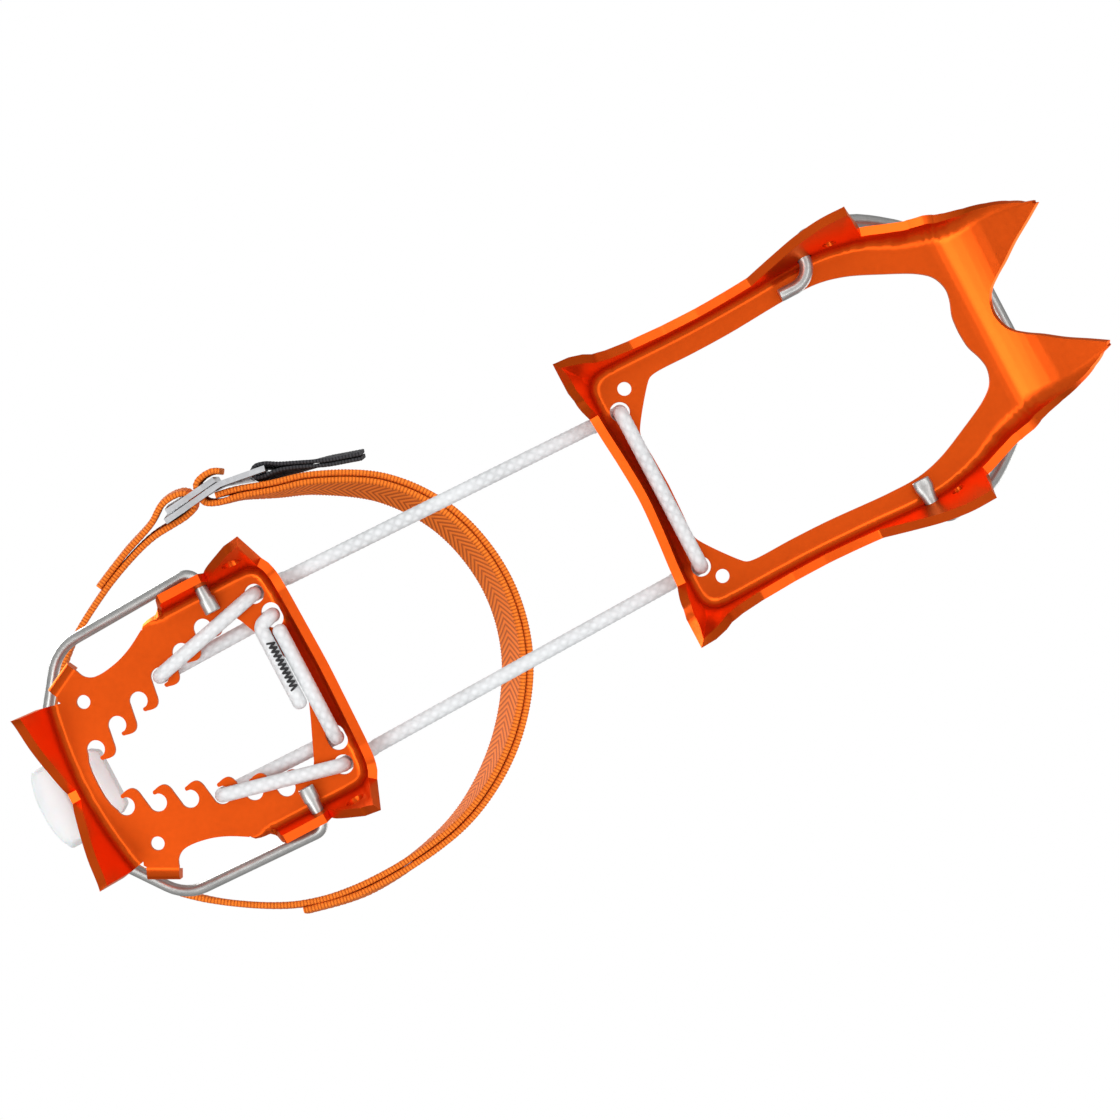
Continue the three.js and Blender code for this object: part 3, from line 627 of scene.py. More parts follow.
def hook_opening():
    """The opening's left half: round each cord slot, its hook's tip, and on to the next."""
    half = [(12.6, 0), (12.75, 4), (13.2, 7)]
    for i in range(HOOKS):
        cx, cy = hook_centre(i)
        half += arc(cx, cy, HOOK_RADIUS, 180, -62, 22)
        half += arc(cx + 0.75, cy - HOOK_RADIUS - 0.35, 0.72, 130, 280, 8)
        bend = np.array([[cx + 1.1, cy - HOOK_RADIUS - 1.1], [cx + 5.2, cy - 5.4], [cx + 5.6, cy - 0.6]])
        for t in np.linspace(0.1, 1, 10):
            half.append(tuple((1 - t) ** 2 * bend[0] + 2 * t * (1 - t) * bend[1] + t * t * bend[2]))
    half += [(68.2, 27), (69.2, 26.8), (72.2, 24.9), (73, 23.6), (78, 12), (81, 4.5), (82, 1.6), (82.2, 0)]
    return half + [(x, -y) for x, y in reversed(half[1:-1])]


def heel_rear_wall():
    half = []
    for y, depth in [(0, 9), (1.5, 9), (9, 17.4), (17, 26.4), (25.6, 36), (26.6, 9)]:
        half.append([5.9 + REACH + 3.2 * (y / 27.4) ** 2, y, depth, 0.15, 1])
    return through([*reversed(mirrored(half)), *half[1:]], 1.2)


def heel_side_wall():
    """From the waist forward round the front corner to the front's middle, on the left."""
    y = HEEL_SIDE_Y - REACH
    corner = (81, y - 2.2, 2.2)
    tip = arc(*corner, 62, 62, 1)[0]
    foot = arc(*corner, 50, 50, 1)[0]
    rows = [
        [45.6, 34.6, 0.02, 0.2], [48, 34.6, 0.35, 0.2], [50.5, y + 0.4, 0.9, 0.2], [52.6, y, 2.6, 0.2],
        [54, y, 9, 0.2], [55.6, y, 14, 0.2], [69, y, 14, 0.2], [70.6, y, 11.6, 0.2], [corner[0], y, 31, 0.2],
        [*tip, 36, 0.2], [*foot, 9, 0.14], [83.1, corner[1], 8, 0.12], [83.4, 26, 9, 0.16], [83.6, 12, 9, 0.2],
        [83.8, 0, 9, 0.2],
    ]
    return [[*row, 1] for row in rows]


def build_heel_frame():
    sheet = Sheet()
    front = through(both_sides(heel_side_wall()), 1.0)
    waist = through([
        (22.8, 32.8), (23.4, 31.2), (24.4, 30), (26, 29.1), (29, 28.8), (35, 29.8), (40, 31.7), (45.6, 34.9),
    ], 0.8)
    # The outline runs anticlockwise seen from above, so walls and tabs fold out to its right.
    sheet.wall(list(reversed(front)))
    sheet.plain(list(reversed(waist))[1:-1])
    sheet.tab([TAB_BASE[1], TAB_BASE[0]], 4.2, 9)
    sheet.plain([(13.6, 27.7)])
    sheet.wall(list(reversed(heel_rear_wall())))
    sheet.plain([(13.6, -27.7)])
    sheet.tab([(x, -y) for x, y in TAB_BASE], 4.2, 9)
    sheet.plain(mirrored(waist)[1:-1])
    frame_sheet = sheet.finish("heel_frame_sheet")
    cuts = [hook_opening()]
    for s in (1, -1):
        cuts.append(circle(20.3, s * 23.8, SMALL_HOLE))
        cuts.append(circle(HEEL_HOLE[0], s * HEEL_HOLE[1], CORD / 2 + 0.8))
        cuts.append(oval(BAR_SLOT[0], s * BAR_SLOT[1], CORD / 2 + 0.7, 1))
    wire_hole = circle(EAR_X, SEAT - WIRE_DROP, HEEL_WIRE / 2 + 0.4)
    slot = circle(79.6, SEAT - 17.5, 3, stretch=1.2)
    return press(frame_sheet, cuts, [wire_hole, slot])


# ---------------------------------------------------------------- front frame

TOE_BENDS = [
    (102, 0), (104, -0.1), (106, -0.38), (108, -0.86), (110, -1.54), (112, -2.38), (114, -3.32), (116, -4.32),
    (118, -5.38), (121, -7.14), (124, -9.06), (130, -12.9), (138, -18.1),
]
RAIL_Y = 42.4
TOE_HOLE_X = 69.5
TOE_DROP = 6
FRONT_HOLE_Y = 26


def toe_seat(x):
    """Height of the front frame's upper side, in its own x: flat, then bent down to its points."""
    xs, drops = zip(*TOE_BENDS)
    return SEAT + float(np.interp(x, xs, drops))


def front_wall():
    """From the front point along the rail and round the rear corner to the middle, on the left."""
    cx, cy, r = 0.6, 33.4, 2.75
    at = {angle: arc(cx, cy, r, angle, angle, 1)[0] for angle in (178, 160, 148, 134, 120, 106)}
    toe = [
        [136.6, 23.4, 0.02, 0.3, 1.3], [134, 24, 0.06, 0.3, 1.4], [130, 24.7, 0.4, 0.3, 1.6],
        [124, 25.5, 1.2, 0.3, 1.6], [118, 25.6, 2.4, 0.3, 1.6], [113, 25.3, 4.2, 0.3, 1.6],
        [108, 25.2, 7.2, 0.3, 1.6], [104, 26, 8.6, 0.3, 1.6], [98, 27.6, 9, 0.3, 1.52],
        [92, 30.7, 9, 0.28, 1.3], [85.2, 34.4, 9, 0.24, 1.06],
    ]
    rail = [
        [80.9, 35.7, 36, 0.2], [76, 36.8, 31, 0.2], [TOE_HOLE_X, 37.3, 25, 0.2],
        [62, 37.1, 18.2, 0.2], [52, 36.5, 9.6, 0.2], [44, 36.2, 9, 0.18], [34, 35.9, 9, 0.16],
        [22, 35.9, 10.4, 0.13], [11, 36.1, 14, 0.1], [4, 36.2, 18.4, 0.1], [cx, cy + r, 22.4, 0.12],
        [*at[106], 27, 0.16], [*at[120], 31.6, 0.225], [*at[134], 36, 0.295], [*at[148], 28.4, 0.25],
        [*at[160], 23.2, 0.22], [*at[178], 17.6, 0.22], [-2.2, 30.8, 13.2, 0.24], [-2.15, 28, 9, 0.24],
        [-2.05, 24, 9, 0.2], [-1.05, 12, 9, 0.2], [-0.45, 0, 9, 0.2],
    ]
    return [*toe, *([*row, 1] for row in rail)]


def front_opening():
    half = [
        (2.8, 0), (2.5, 9), (2.2, 16), (2.6, 18), (11.2, 29.6), (12.8, 31), (15, 31.5), (28, 31.4), (40, 31.6),
        (60, 32.7), (70, 32.5), (78, 30.6), (88, 26.2), (98, 21), (101.5, 17.8), (103, 13.5), (102.6, 10),
        (100.9, 5), (100.5, 0),
    ]
    smooth_half = [tuple(p) for p in through(half, 1.0)]
    return smooth_half + [(x, -y) for x, y in reversed(smooth_half[1:-1])]


def build_front_frame():
    sheet = Sheet(toe_seat)
    wall = through(both_sides(front_wall()), 1.0)
    point = [np.array((137.4, 22.9))]  # the very tip
    notch = through([
        (137.4, 22.9), (132.6, 19.6), (127, 15.9), (122, 12), (118.5, 9.6), (115.2, 6.8), (113.4, 3.6),
        (112.8, 0),
    ], 1.2)[1:]
    sheet.wall(wall)
    sheet.plain(mirrored(point))
    sheet.plain(mirrored(notch)[:-1])
    sheet.plain(list(reversed(notch)))
    sheet.plain(list(reversed(point))[1:])
    bends = sorted({round(float(p[0]), 4) for p in wall if p[0] > TOE_BENDS[0][0]})
    frame_sheet = sheet.finish("front_frame_sheet", bends)
    frame_sheet.data.transform(Matrix.Translation((FRONT_X, 0, 0)))
    opening = [(x + FRONT_X, y) for x, y in front_opening()]
    cuts = [opening]
    for s in (1, -1):
        cuts.append(circle(FRONT_X, s * FRONT_HOLE_Y, CORD / 2 + 0.8))
        cuts.append(circle(FRONT_X + 4.4, s * 31.5, SMALL_HOLE))
    wire_hole = circle(FRONT_X + TOE_HOLE_X, SEAT - TOE_DROP, 2.4)
    slot = circle(FRONT_X + 77.6, SEAT - 11, 2, stretch=1.3)
    return press(frame_sheet, cuts, [wire_hole, slot])


# ---------------------------------------------------------------- wires and cords


def bent(route, step):
    """Points along a route of [x, y, z, reach] in drawing sizes.

    reach is how far from a corner its bend begins.
    """
    points = [Vector(p[:3]) for p in route]
    stretches = []
    start = points[0]
    for i in range(1, len(points) - 1):
        before, here, after = points[i - 1], points[i], points[i + 1]
        reach = route[i][3]
        a = here + (before - here).normalized() * reach
        b = here + (after - here).normalized() * reach
        stretches.append((start, a, None))
        stretches.append((a, b, here))
        start = b
    stretches.append((start, points[-1], None))
    line = []
    for a, b, corner in stretches:
        length = (b - a).length if corner is None else (corner - a).length + (b - corner).length
        count = max(2, round(length / step)) if length > 1e-6 else 1
        for k in range(count):
            t = k / count
            if corner is None:
                line.append(a.lerp(b, t))
            else:
                line.append(a.lerp(corner, t).lerp(corner.lerp(b, t), t))
    line.append(points[-1])
    return [place(*p) for p in line]


def tube(name, line, radius, sides, relief=None, uv=(1, 1)):
    """A closed tube with round ends along a line of points.

    relief(s, turn) is its height over the radius, in metres. uv scales its map, u along it in metres and v
    once round it.
    """
    points = np.array([tuple(p) for p in line])
    steps = np.linalg.norm(np.diff(points, axis=0), axis=1)
    run = np.concatenate([[0], np.cumsum(steps)])
    tangents = np.gradient(points, axis=0)
    tangents /= np.linalg.norm(tangents, axis=1)[:, None]
    normal = np.cross(tangents[0], (0, 0, 1))
    if np.linalg.norm(normal) < 0.2:
        normal = np.cross(tangents[0], (0, 1, 0))
    frames = []
    for t in tangents:
        normal = normal - t * normal.dot(t)
        normal /= np.linalg.norm(normal)
        frames.append((normal, np.cross(t, normal)))
    caps = [(math.cos(a), math.sin(a)) for a in (math.radians(x) for x in (78, 55, 30))]
    rings = [(0, c, -s) for c, s in caps]
    rings += [(i, 1.0, 0.0) for i in range(len(points))]
    rings += [(len(points) - 1, c, s) for c, s in reversed(caps)]
    turns = np.arange(sides) / sides
    vertices, along = [], []
    for i, scale, push in rings:
        n, b = frames[i]
        height = relief(run[i], turns) if relief is not None else 0
        r = radius * scale + height * scale
        offsets = (np.cos(2 * math.pi * turns) * r)[:, None] * n + (
            np.sin(2 * math.pi * turns) * r)[:, None] * b
        vertices.append(points[i] + tangents[i] * push * radius * 0.8 + offsets)
        along.append(run[i] + push * radius * 0.8)
    count = len(rings)
    faces, maps = [], []
    for i in range(count - 1):
        for k in range(sides):
            j = (k + 1) % sides
            faces.append((i * sides + k, i * sides + j, (i + 1) * sides + j, (i + 1) * sides + k))
            u0, u1 = along[i] * uv[0], along[i + 1] * uv[0]
            v0, v1 = k / sides * uv[1], (k + 1) / sides * uv[1]
            maps += [(u0, v0), (u0, v1), (u1, v1), (u1, v0)]
    for ring, order in ((0, range(sides - 1, -1, -1)), (count - 1, range(sides))):
        faces.append(tuple(ring * sides + k for k in order))
        maps += [(along[ring] * uv[0], 0.0)] * sides
    obj = from_faces(name, np.concatenate(vertices), faces)
    layer = obj.data.uv_layers.new(name="Run")
    layer.data.foreach_set("uv", np.array(maps, np.float32).ravel())
    return obj


def braid(pitch, height):
    """Relief of a braid: a diamond of strands, one pitch long."""
    def relief(s, turn):
        left = np.abs(np.sin(math.pi * (s / pitch + turn * BRAID_STRANDS)))
        right = np.abs(np.sin(math.pi * (s / pitch - turn * BRAID_STRANDS)))
        return height * (np.sqrt(left * right) - 0.75)
    return relief


def cord(name, route):
    """A length of braided cord along a route."""
    sizes = bpy.context.scene.crampon_sizes
    line = bent(route, 0.42)
    obj = tube(name, line, CORD / 2 * MM, 40, braid(sizes.braid_pitch, sizes.braid_relief),
               uv=(1 / sizes.braid_pitch, 1))
    smooth(obj, 60)
    return obj, line


def draw_wire(name, route, radius, ends):
    """Draws a wire as by hand: a disc is extruded along the straights and spun round the corners.

    ends holds, for the start and for the end, [distance, width, height] from the tip inwards.
    """
    points = [place(*p[:3]) for p in route]
    at = points[0]
    bpy.ops.object.select_all(action="DESELECT")
    bpy.ops.mesh.primitive_circle_add(
        vertices=24, radius=radius * MM, fill_type="NGON", location=at,
        rotation=(points[1] - at).to_track_quat("Z", "Y").to_euler())
    wire = bpy.context.object
    wire.name = name
    bpy.ops.object.transform_apply(location=True, rotation=True, scale=True)
    bpy.ops.object.mode_set(mode="EDIT")
    bpy.ops.mesh.select_mode(type="FACE")
    bpy.ops.mesh.select_all(action="SELECT")
    shape = [1.0, 1.0]

    def push(target):
        nonlocal at
        if (target - at).length > 1e-6:
            bpy.ops.mesh.extrude_region_move(TRANSFORM_OT_translate={"value": target - at})
        at = target

    def flatten(width, height):
        bpy.ops.transform.resize(value=(width / shape[0], 1, height / shape[1]), center_override=at)
        shape[:] = [width, height]

    ahead = (points[1] - at).normalized()
    for distance, width, height in ends[0]:
        push(points[0] + ahead * distance * MM)
        flatten(width, height)
    for i in range(1, len(points) - 1):
        onward = (points[i + 1] - points[i]).normalized()
        reach = route[i][3] * MM
        turn = ahead.angle(onward)
        axis = ahead.cross(onward).normalized()
        push(points[i] - ahead * reach)
        centre = at + axis.cross(ahead) * reach / math.tan(turn / 2)
        bpy.ops.mesh.spin(steps=max(4, round(math.degrees(turn) / 8)), angle=turn, center=centre, axis=-axis)
        at = points[i] + onward * reach
        ahead = onward
    for distance, width, height in reversed(ends[1]):
        push(points[-1] - ahead * distance * MM)
        flatten(width, height)
    bpy.ops.object.mode_set(mode="OBJECT")
    modify(wire, "BEVEL", width=0.35 * MM, segments=2, limit_method="ANGLE", angle_limit=math.radians(60))
    return smooth(wire, 50)


OVER_BEND = 3.4
HEEL_FOLD_X = 90.6
FRONT_FOLD_X = FRONT_X - 9.4
BLEND = 1.5 * MM  # half a length either side of a fold, across_fold's default, which it works into points that go unused


def across_fold(obj, x, half=BLEND):
    """Bakes the piece's place into its mesh; the points half either side of x at the cord's height are worked
    out and not used.
    """
    place(x, 0, CORD_OVER) - Vector((half, 0, 0))
    place(x, 0, CORD_OVER) + Vector((half, 0, 0))
    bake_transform(obj)


# ---------------------------------------------------------------- strap

WEBBING_WIDTH = 20
WEBBING = 1.7
STRAP_CENTRE = Vector((74, 0))
STRAP_BACK = -6.6
LEVER_SIDE = 27 / 2 + TOUCH
LAYER = WEBBING + TOUCH + 0.2
TIP = 0.34  # sideways tip of the webbing at the ankle's front, per millimetre of height
LEAN = 0.1  # sideways lean beside the ankle, the other way
LEAN_BEGINS = 24
BESIDE_ANKLE = 60
FRONT_OF_ANKLE = 145
STRAP_LEFT = [
    [STRAP_BACK, LEVER_SIDE + TOUCH], [-4.4, 19], [3, 30], [13, 43.2], [27, 54.2], [44, 63], [62, 66.6],
    [84, 65.4], [104, 59.6], [124, 45.6], [138.6, 25], [143.6, 2], [139, -22], [126.5, -40], [108, -51.6],
    [96, -55.8], [86, -59.6], [79.4, -61.2],
]
LEFT_TURN = [[75.8, -63.4], [75.4, -66.4], [76, -69.4], [78.4, -70.6], [82.2, -70.6], [84.4, -69.4]]
TAIL_START = [[79.8, -63.5], [86, -62]]
TAIL_END_INDEX = 5
STRAP_RIGHT = [
    [STRAP_BACK, -LEVER_SIDE - TOUCH], [-4.4, -19], [3, -29.4], [17, -42.8], [33, -52.6], [46, -58.4],
    [56, -61.4], [63, -62], [68.6, -62.4],
]
RIGHT_TURN = [
    [71.6, -63.4], [72.6, -66], [71.4, -68.8], [68.4, -69.8], [63.4, -69.2], [57.5, -65.4], [46, -61],
    [33.6, -55.3],
]


def eased(x, low, high):
    share = min(max((x - low) / (high - low), 0), 1)
    return share * share * (3 - 2 * share)


def strap_tip(x):
    """How far the webbing's upper edge tips in towards the ankle, per millimetre of height."""
    return (LEAN + TIP) * eased(x, BESIDE_ANKLE, FRONT_OF_ANKLE) - LEAN * eased(x, STRAP_BACK, LEAN_BEGINS)


def outside(points, offset):
    """A plan route moved outwards, away from the ankle."""
    out = []
    for i, (x, y) in enumerate(points):
        ahead = points[min(i + 1, len(points) - 1)]
        behind = points[max(i - 1, 0)]
        along = Vector((ahead[0] - behind[0], ahead[1] - behind[1])).normalized()
        away = Vector((x, y)) - STRAP_CENTRE
        turn = math.copysign(1, along.y * away.x - along.x * away.y)
        out.append([x + turn * along.y * offset, y - turn * along.x * offset])
    return out


def ribbon_edge(width, thick, columns):
    """A flat webbing's section: [across, through, place from -1 to 1], once round with round edges."""
    half, deep = width / 2, thick / 2
    face = [(half - deep) * (1 - 2 * k / columns) for k in range(columns + 1)]
    side = [math.radians(a) for a in (30, 60)]
    section = [[t, deep, t / half] for t in reversed(face)]
    section += [[half - deep + deep * math.sin(a), deep * math.cos(a), 1.0] for a in side]
    section += [[half, 0, 1.0]]
    section += [[half - deep + deep * math.sin(a), -deep * math.cos(a), 1.0] for a in reversed(side)]
    section += [[t, -deep, t / half] for t in face]
    section += [[-half + deep - deep * math.sin(a), -deep * math.cos(a), -1.0] for a in side]
    section += [[-half, 0, -1.0]]
    section += [[-half + deep - deep * math.sin(a), deep * math.cos(a), -1.0] for a in reversed(side)]
    return section


def webbing(name, points, step=0.5, width=WEBBING_WIDTH, thick=WEBBING, relief=1.0, tip_at=strap_tip):
    """Ribbed webbing that stands on its edge along a plan curve."""
    sizes = bpy.context.scene.crampon_sizes
    curve = np.array([p[:2] for p in through(points, step)])
    run = np.concatenate([[0], np.cumsum(np.linalg.norm(np.diff(curve, axis=0), axis=1))])
    count = max(3, round(run[-1] / step))
    spaced = np.linspace(0, run[-1], count)
    curve = np.stack([np.interp(spaced, run, curve[:, k]) for k in (0, 1)], 1)
    tangents = np.gradient(curve, axis=0)
    for _ in range(3):
        tangents[1:-1] = (tangents[:-2] + 2 * tangents[1:-1] + tangents[2:]) / 4
    tangents /= np.linalg.norm(tangents, axis=1)[:, None]
    pitch = sizes.rib_pitch / MM
    rise = sizes.rib_relief / MM * relief
    section = ribbon_edge(width, thick, 16)
    vertices, maps_u = [], []
    for p, along, s in zip(curve, tangents, spaced):
        tip = STRAP_CENTRE - Vector(p)
        tip = np.array(tip.normalized()) * tip_at(p[0])
        out = np.array([-along[1], along[0]])
        for t, deep, v in section:
            rib = 0.5 + 0.5 * math.cos(2 * math.pi * (s / pitch + abs(v) * RIB_LEAN))
            if abs(v) > SELVEDGE:
                rib = 0.5 + 0.5 * math.cos(4 * math.pi * s / pitch)
            lift = math.copysign(rise * (rib - 1) * (1 if abs(deep) > 0.01 else 0), deep)
            x, y = p + out * (deep + lift) + tip * t
            edge = rise * 0.6 * (rib - 1) if abs(v) > 0.99 else 0
            vertices.append(tuple(place(x, y, STRAP_HEIGHT + t + math.copysign(edge, t))))
        maps_u.append(s / pitch)
    sides = len(section)
    faces, maps = [], []
    for i in range(count - 1):
        for k in range(sides):
            j = (k + 1) % sides
            faces.append((i * sides + k, (i + 1) * sides + k, (i + 1) * sides + j, i * sides + j))
            maps += [(maps_u[i], section[k][2]), (maps_u[i + 1], section[k][2]),
                     (maps_u[i + 1], section[j][2]), (maps_u[i], section[j][2])]
    for i, order in ((0, range(sides)), (count - 1, range(sides - 1, -1, -1))):
        faces.append(tuple(i * sides + k for k in order))
        maps += [(maps_u[i], section[k][2]) for k in order]
    obj = from_faces(name, vertices, faces)
    layer = obj.data.uv_layers.new(name="Run")
    layer.data.foreach_set("uv", np.array(maps, np.float32).ravel())
    mesh = bmesh.new()
    mesh.from_mesh(obj.data)
    if mesh.calc_volume(signed=True) < 0:
        bmesh.ops.reverse_faces(mesh, faces=mesh.faces)
    mesh.to_mesh(obj.data)
    mesh.free()
    smooth(obj, 50)
    return obj


# ---------------------------------------------------------------- lever

CATCH_HEIGHTS = (SEAT + 17.5, SEAT + 21.5)
CUTTER = 40 * MM  # past both sides of the lever
LEVER_LEVELS = [  # height, back, front, half width
    (SEAT + 12, -4.4, 0.9, 11.6), (SEAT + 14, -5.4, 1.5, 13), (CATCH_HEIGHTS[0], -5.8, 1.5, 13.5),
    (CATCH_HEIGHTS[1], -6, 1.5, 13.5), (66, -6.4, 1.5, 13.5), (76, -8, -3, 13.5), (86, -9.6, -3, 13.5),
    (98, -10.8, -3, 13.5), (107, -10.8, -3, 13.5), (110.4, -10, -3.4, 13.2), (112, -8.6, -4.4, 12.4),
]


# ---------------------------------------------------------------- operators

# The studio's glow from straight below, at 0 degrees, to straight above. The folds catch its bright ring.
SKY = [
    (0, 0.21), (16, 0.22), (26, 0.34), (33, 0.85), (39, 0.85), (46, 0.3), (51, 0.08), (56, 0.09), (62, 0.2),
    (70, 0.18), (79, 0.16), (90, 0.19), (105, 0.1), (120, 0.1), (180, 0.16),
]


class StageOperator(bpy.types.Operator):
    """Sets the camera, the floor, the world and the soft lights"""

    bl_idname = "crampon.stage"
    bl_label = "Stage"

    def execute(self, context):
        scene = context.scene
        scene.view_settings.view_transform = "Standard"
        self.camera(scene)
        self.floor()
        self.world(scene)
        # Place, size and power in watts; each light faces the object.
        for name, at, size, power in (
            ("key_above", (-0.7, -0.9, 1.3), 0.9, 18), ("fill_above", (0.9, 0.8, 1.1), 1.2, 8),
            ("key_below", (-0.75, 0.2, -1.1), 0.6, 3.6), ("fill_below", (0.5, -0.8, -1.1), 0.8, 2.4),
        ):
            light = bpy.data.lights.new(name, "AREA")
            light.shape = "DISK"
            light.size = size
            light.energy = power
            lamp = new_object(name, light)
            lamp.location = at
            lamp.rotation_euler = (Vector((0, 0, 0.03)) - Vector(at)).to_track_quat("-Z", "Y").to_euler()
            lamp.visible_camera = False
        return {"FINISHED"}

    def camera(self, scene):
        data = bpy.data.cameras.new("camera")
        data.lens = 123.8
        camera = new_object("camera", data)
        # Looks straight up at the points from below, the toe to the right and a little up.
        right = Vector((0.8853, 0.4649, 0))
        up = Vector((0.4649, -0.8853, 0))
        rotation = Matrix((right, up, right.cross(up))).transposed().to_4x4()
        camera.matrix_world = Matrix.Translation((0.0025, 0.0054, SEAT * MM - 1.15)) @ rotation
        scene.camera = camera

    def floor(self):
        bpy.ops.object.select_all(action="DESELECT")
        bpy.ops.mesh.primitive_plane_add(size=12)
        floor = bpy.context.object
        floor.name = "floor"
        finish = Finish("pale_floor", {"Roughness": 0.9})
        cloud = finish.place.noise(3, 2)
        finish.feed("Base Color", cloud.ramp((0.3, (0.8, 0.8, 0.8)), (0.7, (0.84, 0.84, 0.84))))
        nodes, links = finish.tree.nodes, finish.tree.links
        geometry = nodes.new("ShaderNodeNewGeometry")
        clear = nodes.new("ShaderNodeBsdfTransparent")
        mix = nodes.new("ShaderNodeMixShader")
        links.new(geometry.outputs["Backfacing"], mix.inputs[0])
        links.new(finish.shader.outputs[0], mix.inputs[1])
        links.new(clear.outputs[0], mix.inputs[2])
        links.new(mix.outputs[0], nodes["Material Output"].inputs["Surface"])
        floor.data.materials.append(finish.material)
        # Only the camera sees the floor, so that the light from below reaches the frames.
        floor.visible_shadow = False
        floor.visible_diffuse = False
        floor.visible_glossy = False
        floor.visible_transmission = False

    def world(self, scene):
        world = bpy.data.worlds.new("studio")
        world.use_nodes = True
        scene.world = world
        tree = world.node_tree
        tree.nodes.clear()
        direction = Wire(tree, tree.nodes.new("ShaderNodeTexCoord").outputs["Generated"])
        light_path = tree.nodes.new("ShaderNodeLightPath")
        glow = direction.part("Z").node(
            "ShaderNodeValToRGB",
            {"stops": [((1 - math.cos(math.radians(angle))) / 2, (level, level, level))
                       for angle, level in SKY]},
            {0: direction.part("Z") * 0.5 + 0.5})
        soft = glow.node("ShaderNodeBackground", inputs={"Color": glow, "Strength": 3.5})
        white = glow.node("ShaderNodeBackground", inputs={"Color": (1, 1, 1, 1), "Strength": 1.0})
        mixed = glow.node("ShaderNodeMixShader", inputs={
            0: Wire(tree, light_path.outputs["Is Camera Ray"]), 1: soft, 2: white})
        output = tree.nodes.new("ShaderNodeOutputWorld")
        tree.links.new(mixed.socket, output.inputs["Surface"])


class CordOperator(bpy.types.Operator):
    """Braids the linking cord: its two free spans, its runs on the frames and its sewn splice"""

    bl_idname = "crampon.cord"
    bl_label = "Linking cord"

    def execute(self, context):
        self.spans()
        self.front_bar()
        self.heel_runs()
        self.splice()
        return {"FINISHED"}

    def spans(self):
        for side, name in ((1, "left"), (-1, "right")):
            def y_at(x):
                return side * float(np.interp(x, (HEEL_HOLE[0], FRONT_X), (HEEL_HOLE[1], FRONT_HOLE_Y)))
            ends = (HEEL_FOLD_X + 0.15, FRONT_FOLD_X - 0.15)
            obj, line = cord(f"cord_span_{name}", [[x, y_at(x), CORD_OVER] for x in ends])
            middle = sum(ends) / 2
            across_fold(obj, middle, 20 * MM)
            dress(obj, None, "link_cord", f"cord_span_heel_{name}", f"cord_span_front_{name}")

    def front_bar(self):
        half = [
            [FRONT_FOLD_X + TOUCH / 2, FRONT_HOLE_Y, CORD_OVER], [FRONT_X, FRONT_HOLE_Y, CORD_OVER, OVER_BEND],
            [FRONT_X, FRONT_HOLE_Y, CORD_UNDER, OVER_BEND],
        ]
        obj, _ = cord("cord_front_bar_run", [*half, *reversed(mirrored(half))])
        across_fold(obj, FRONT_FOLD_X + 1.5)
        dress(obj, None, "link_cord", "cord_front_bar")

    def heel_runs(self):
        hook_x, hook_y = hook_centre(HOOK_IN_USE)
        route = [
            [HEEL_FOLD_X - TOUCH / 2, HEEL_HOLE[1], CORD_OVER], [*HEEL_HOLE, CORD_OVER, OVER_BEND],
            [*HEEL_HOLE, CORD_UNDER, OVER_BEND], [hook_x, hook_y, CORD_UNDER, OVER_BEND],
            [hook_x, hook_y, CORD_OVER, OVER_BEND], [*BAR_SLOT, CORD_OVER, OVER_BEND],
            [*BAR_SLOT, SEAT - SHEET / 2 + TOUCH / 2],
        ]
        for points, name in ((route, "left"), (mirrored(route), "right")):
            obj, _ = cord(f"cord_heel_run_{name}", points)
            across_fold(obj, HEEL_FOLD_X - 1.5)
            dress(obj, None, "link_cord", f"cord_heel_{name}")

    def splice(self):
        below = SEAT - SHEET / 2 - TOUCH / 2
        tail_x = BAR_SLOT[0] - CORD - TOUCH
        left = [[*BAR_SLOT, below], [*BAR_SLOT, CORD_UNDER, OVER_BEND], [BAR_SLOT[0], -15.6, CORD_UNDER]]
        right = [
            [BAR_SLOT[0], -BAR_SLOT[1], below], [BAR_SLOT[0], -BAR_SLOT[1], CORD_UNDER, 2.2],
            [tail_x, 1.4 - BAR_SLOT[1], CORD_UNDER, 2], [tail_x, 6.5, CORD_UNDER],
        ]
        for points, name in ((left, "left"), (right, "right")):
            obj, _ = cord(f"cord_end_run_{name}", points)
            dress(obj, "heel_section", "link_cord", f"cord_end_{name}")
        self.stitching(BAR_SLOT[0] - CORD + 1.1)

    def stitching(self, x):
        """A zigzag of black thread over the two cords, along their seam."""
        stitches = 22
        reach = 1.15
        top = CORD_UNDER - CORD / 2 - 0.15
        route = []
        for k in range(stitches + 1):
            y = -13.6 + 15.6 * k / stitches
            route.append([x - 0.6 + (reach if k % 2 else -reach), y, top + 0.35, 0.25])
            if k < stitches:
                route.append([x - 0.6, y + 7.8 / stitches, top, 0.2])
        line = bent(route, 0.3)
        obj = tube("splice_stitching", line, 0.34 * MM, 10)
        smooth(obj, 60)
        dress(obj, "heel_section", "link_cord", finish="thread")


class FrameOperator(bpy.types.Operator):
    """Presses the heel frame and the front frame from sheet, with their folds, points, hooks and holes"""

    bl_idname = "crampon.frames"
    bl_label = "Frames"

    def execute(self, context):
        dress(build_heel_frame(), "heel_section", "anodised_frame", "heel_frame")
        dress(build_front_frame(), "front_section", "anodised_frame", "front_frame")
        return {"FINISHED"}


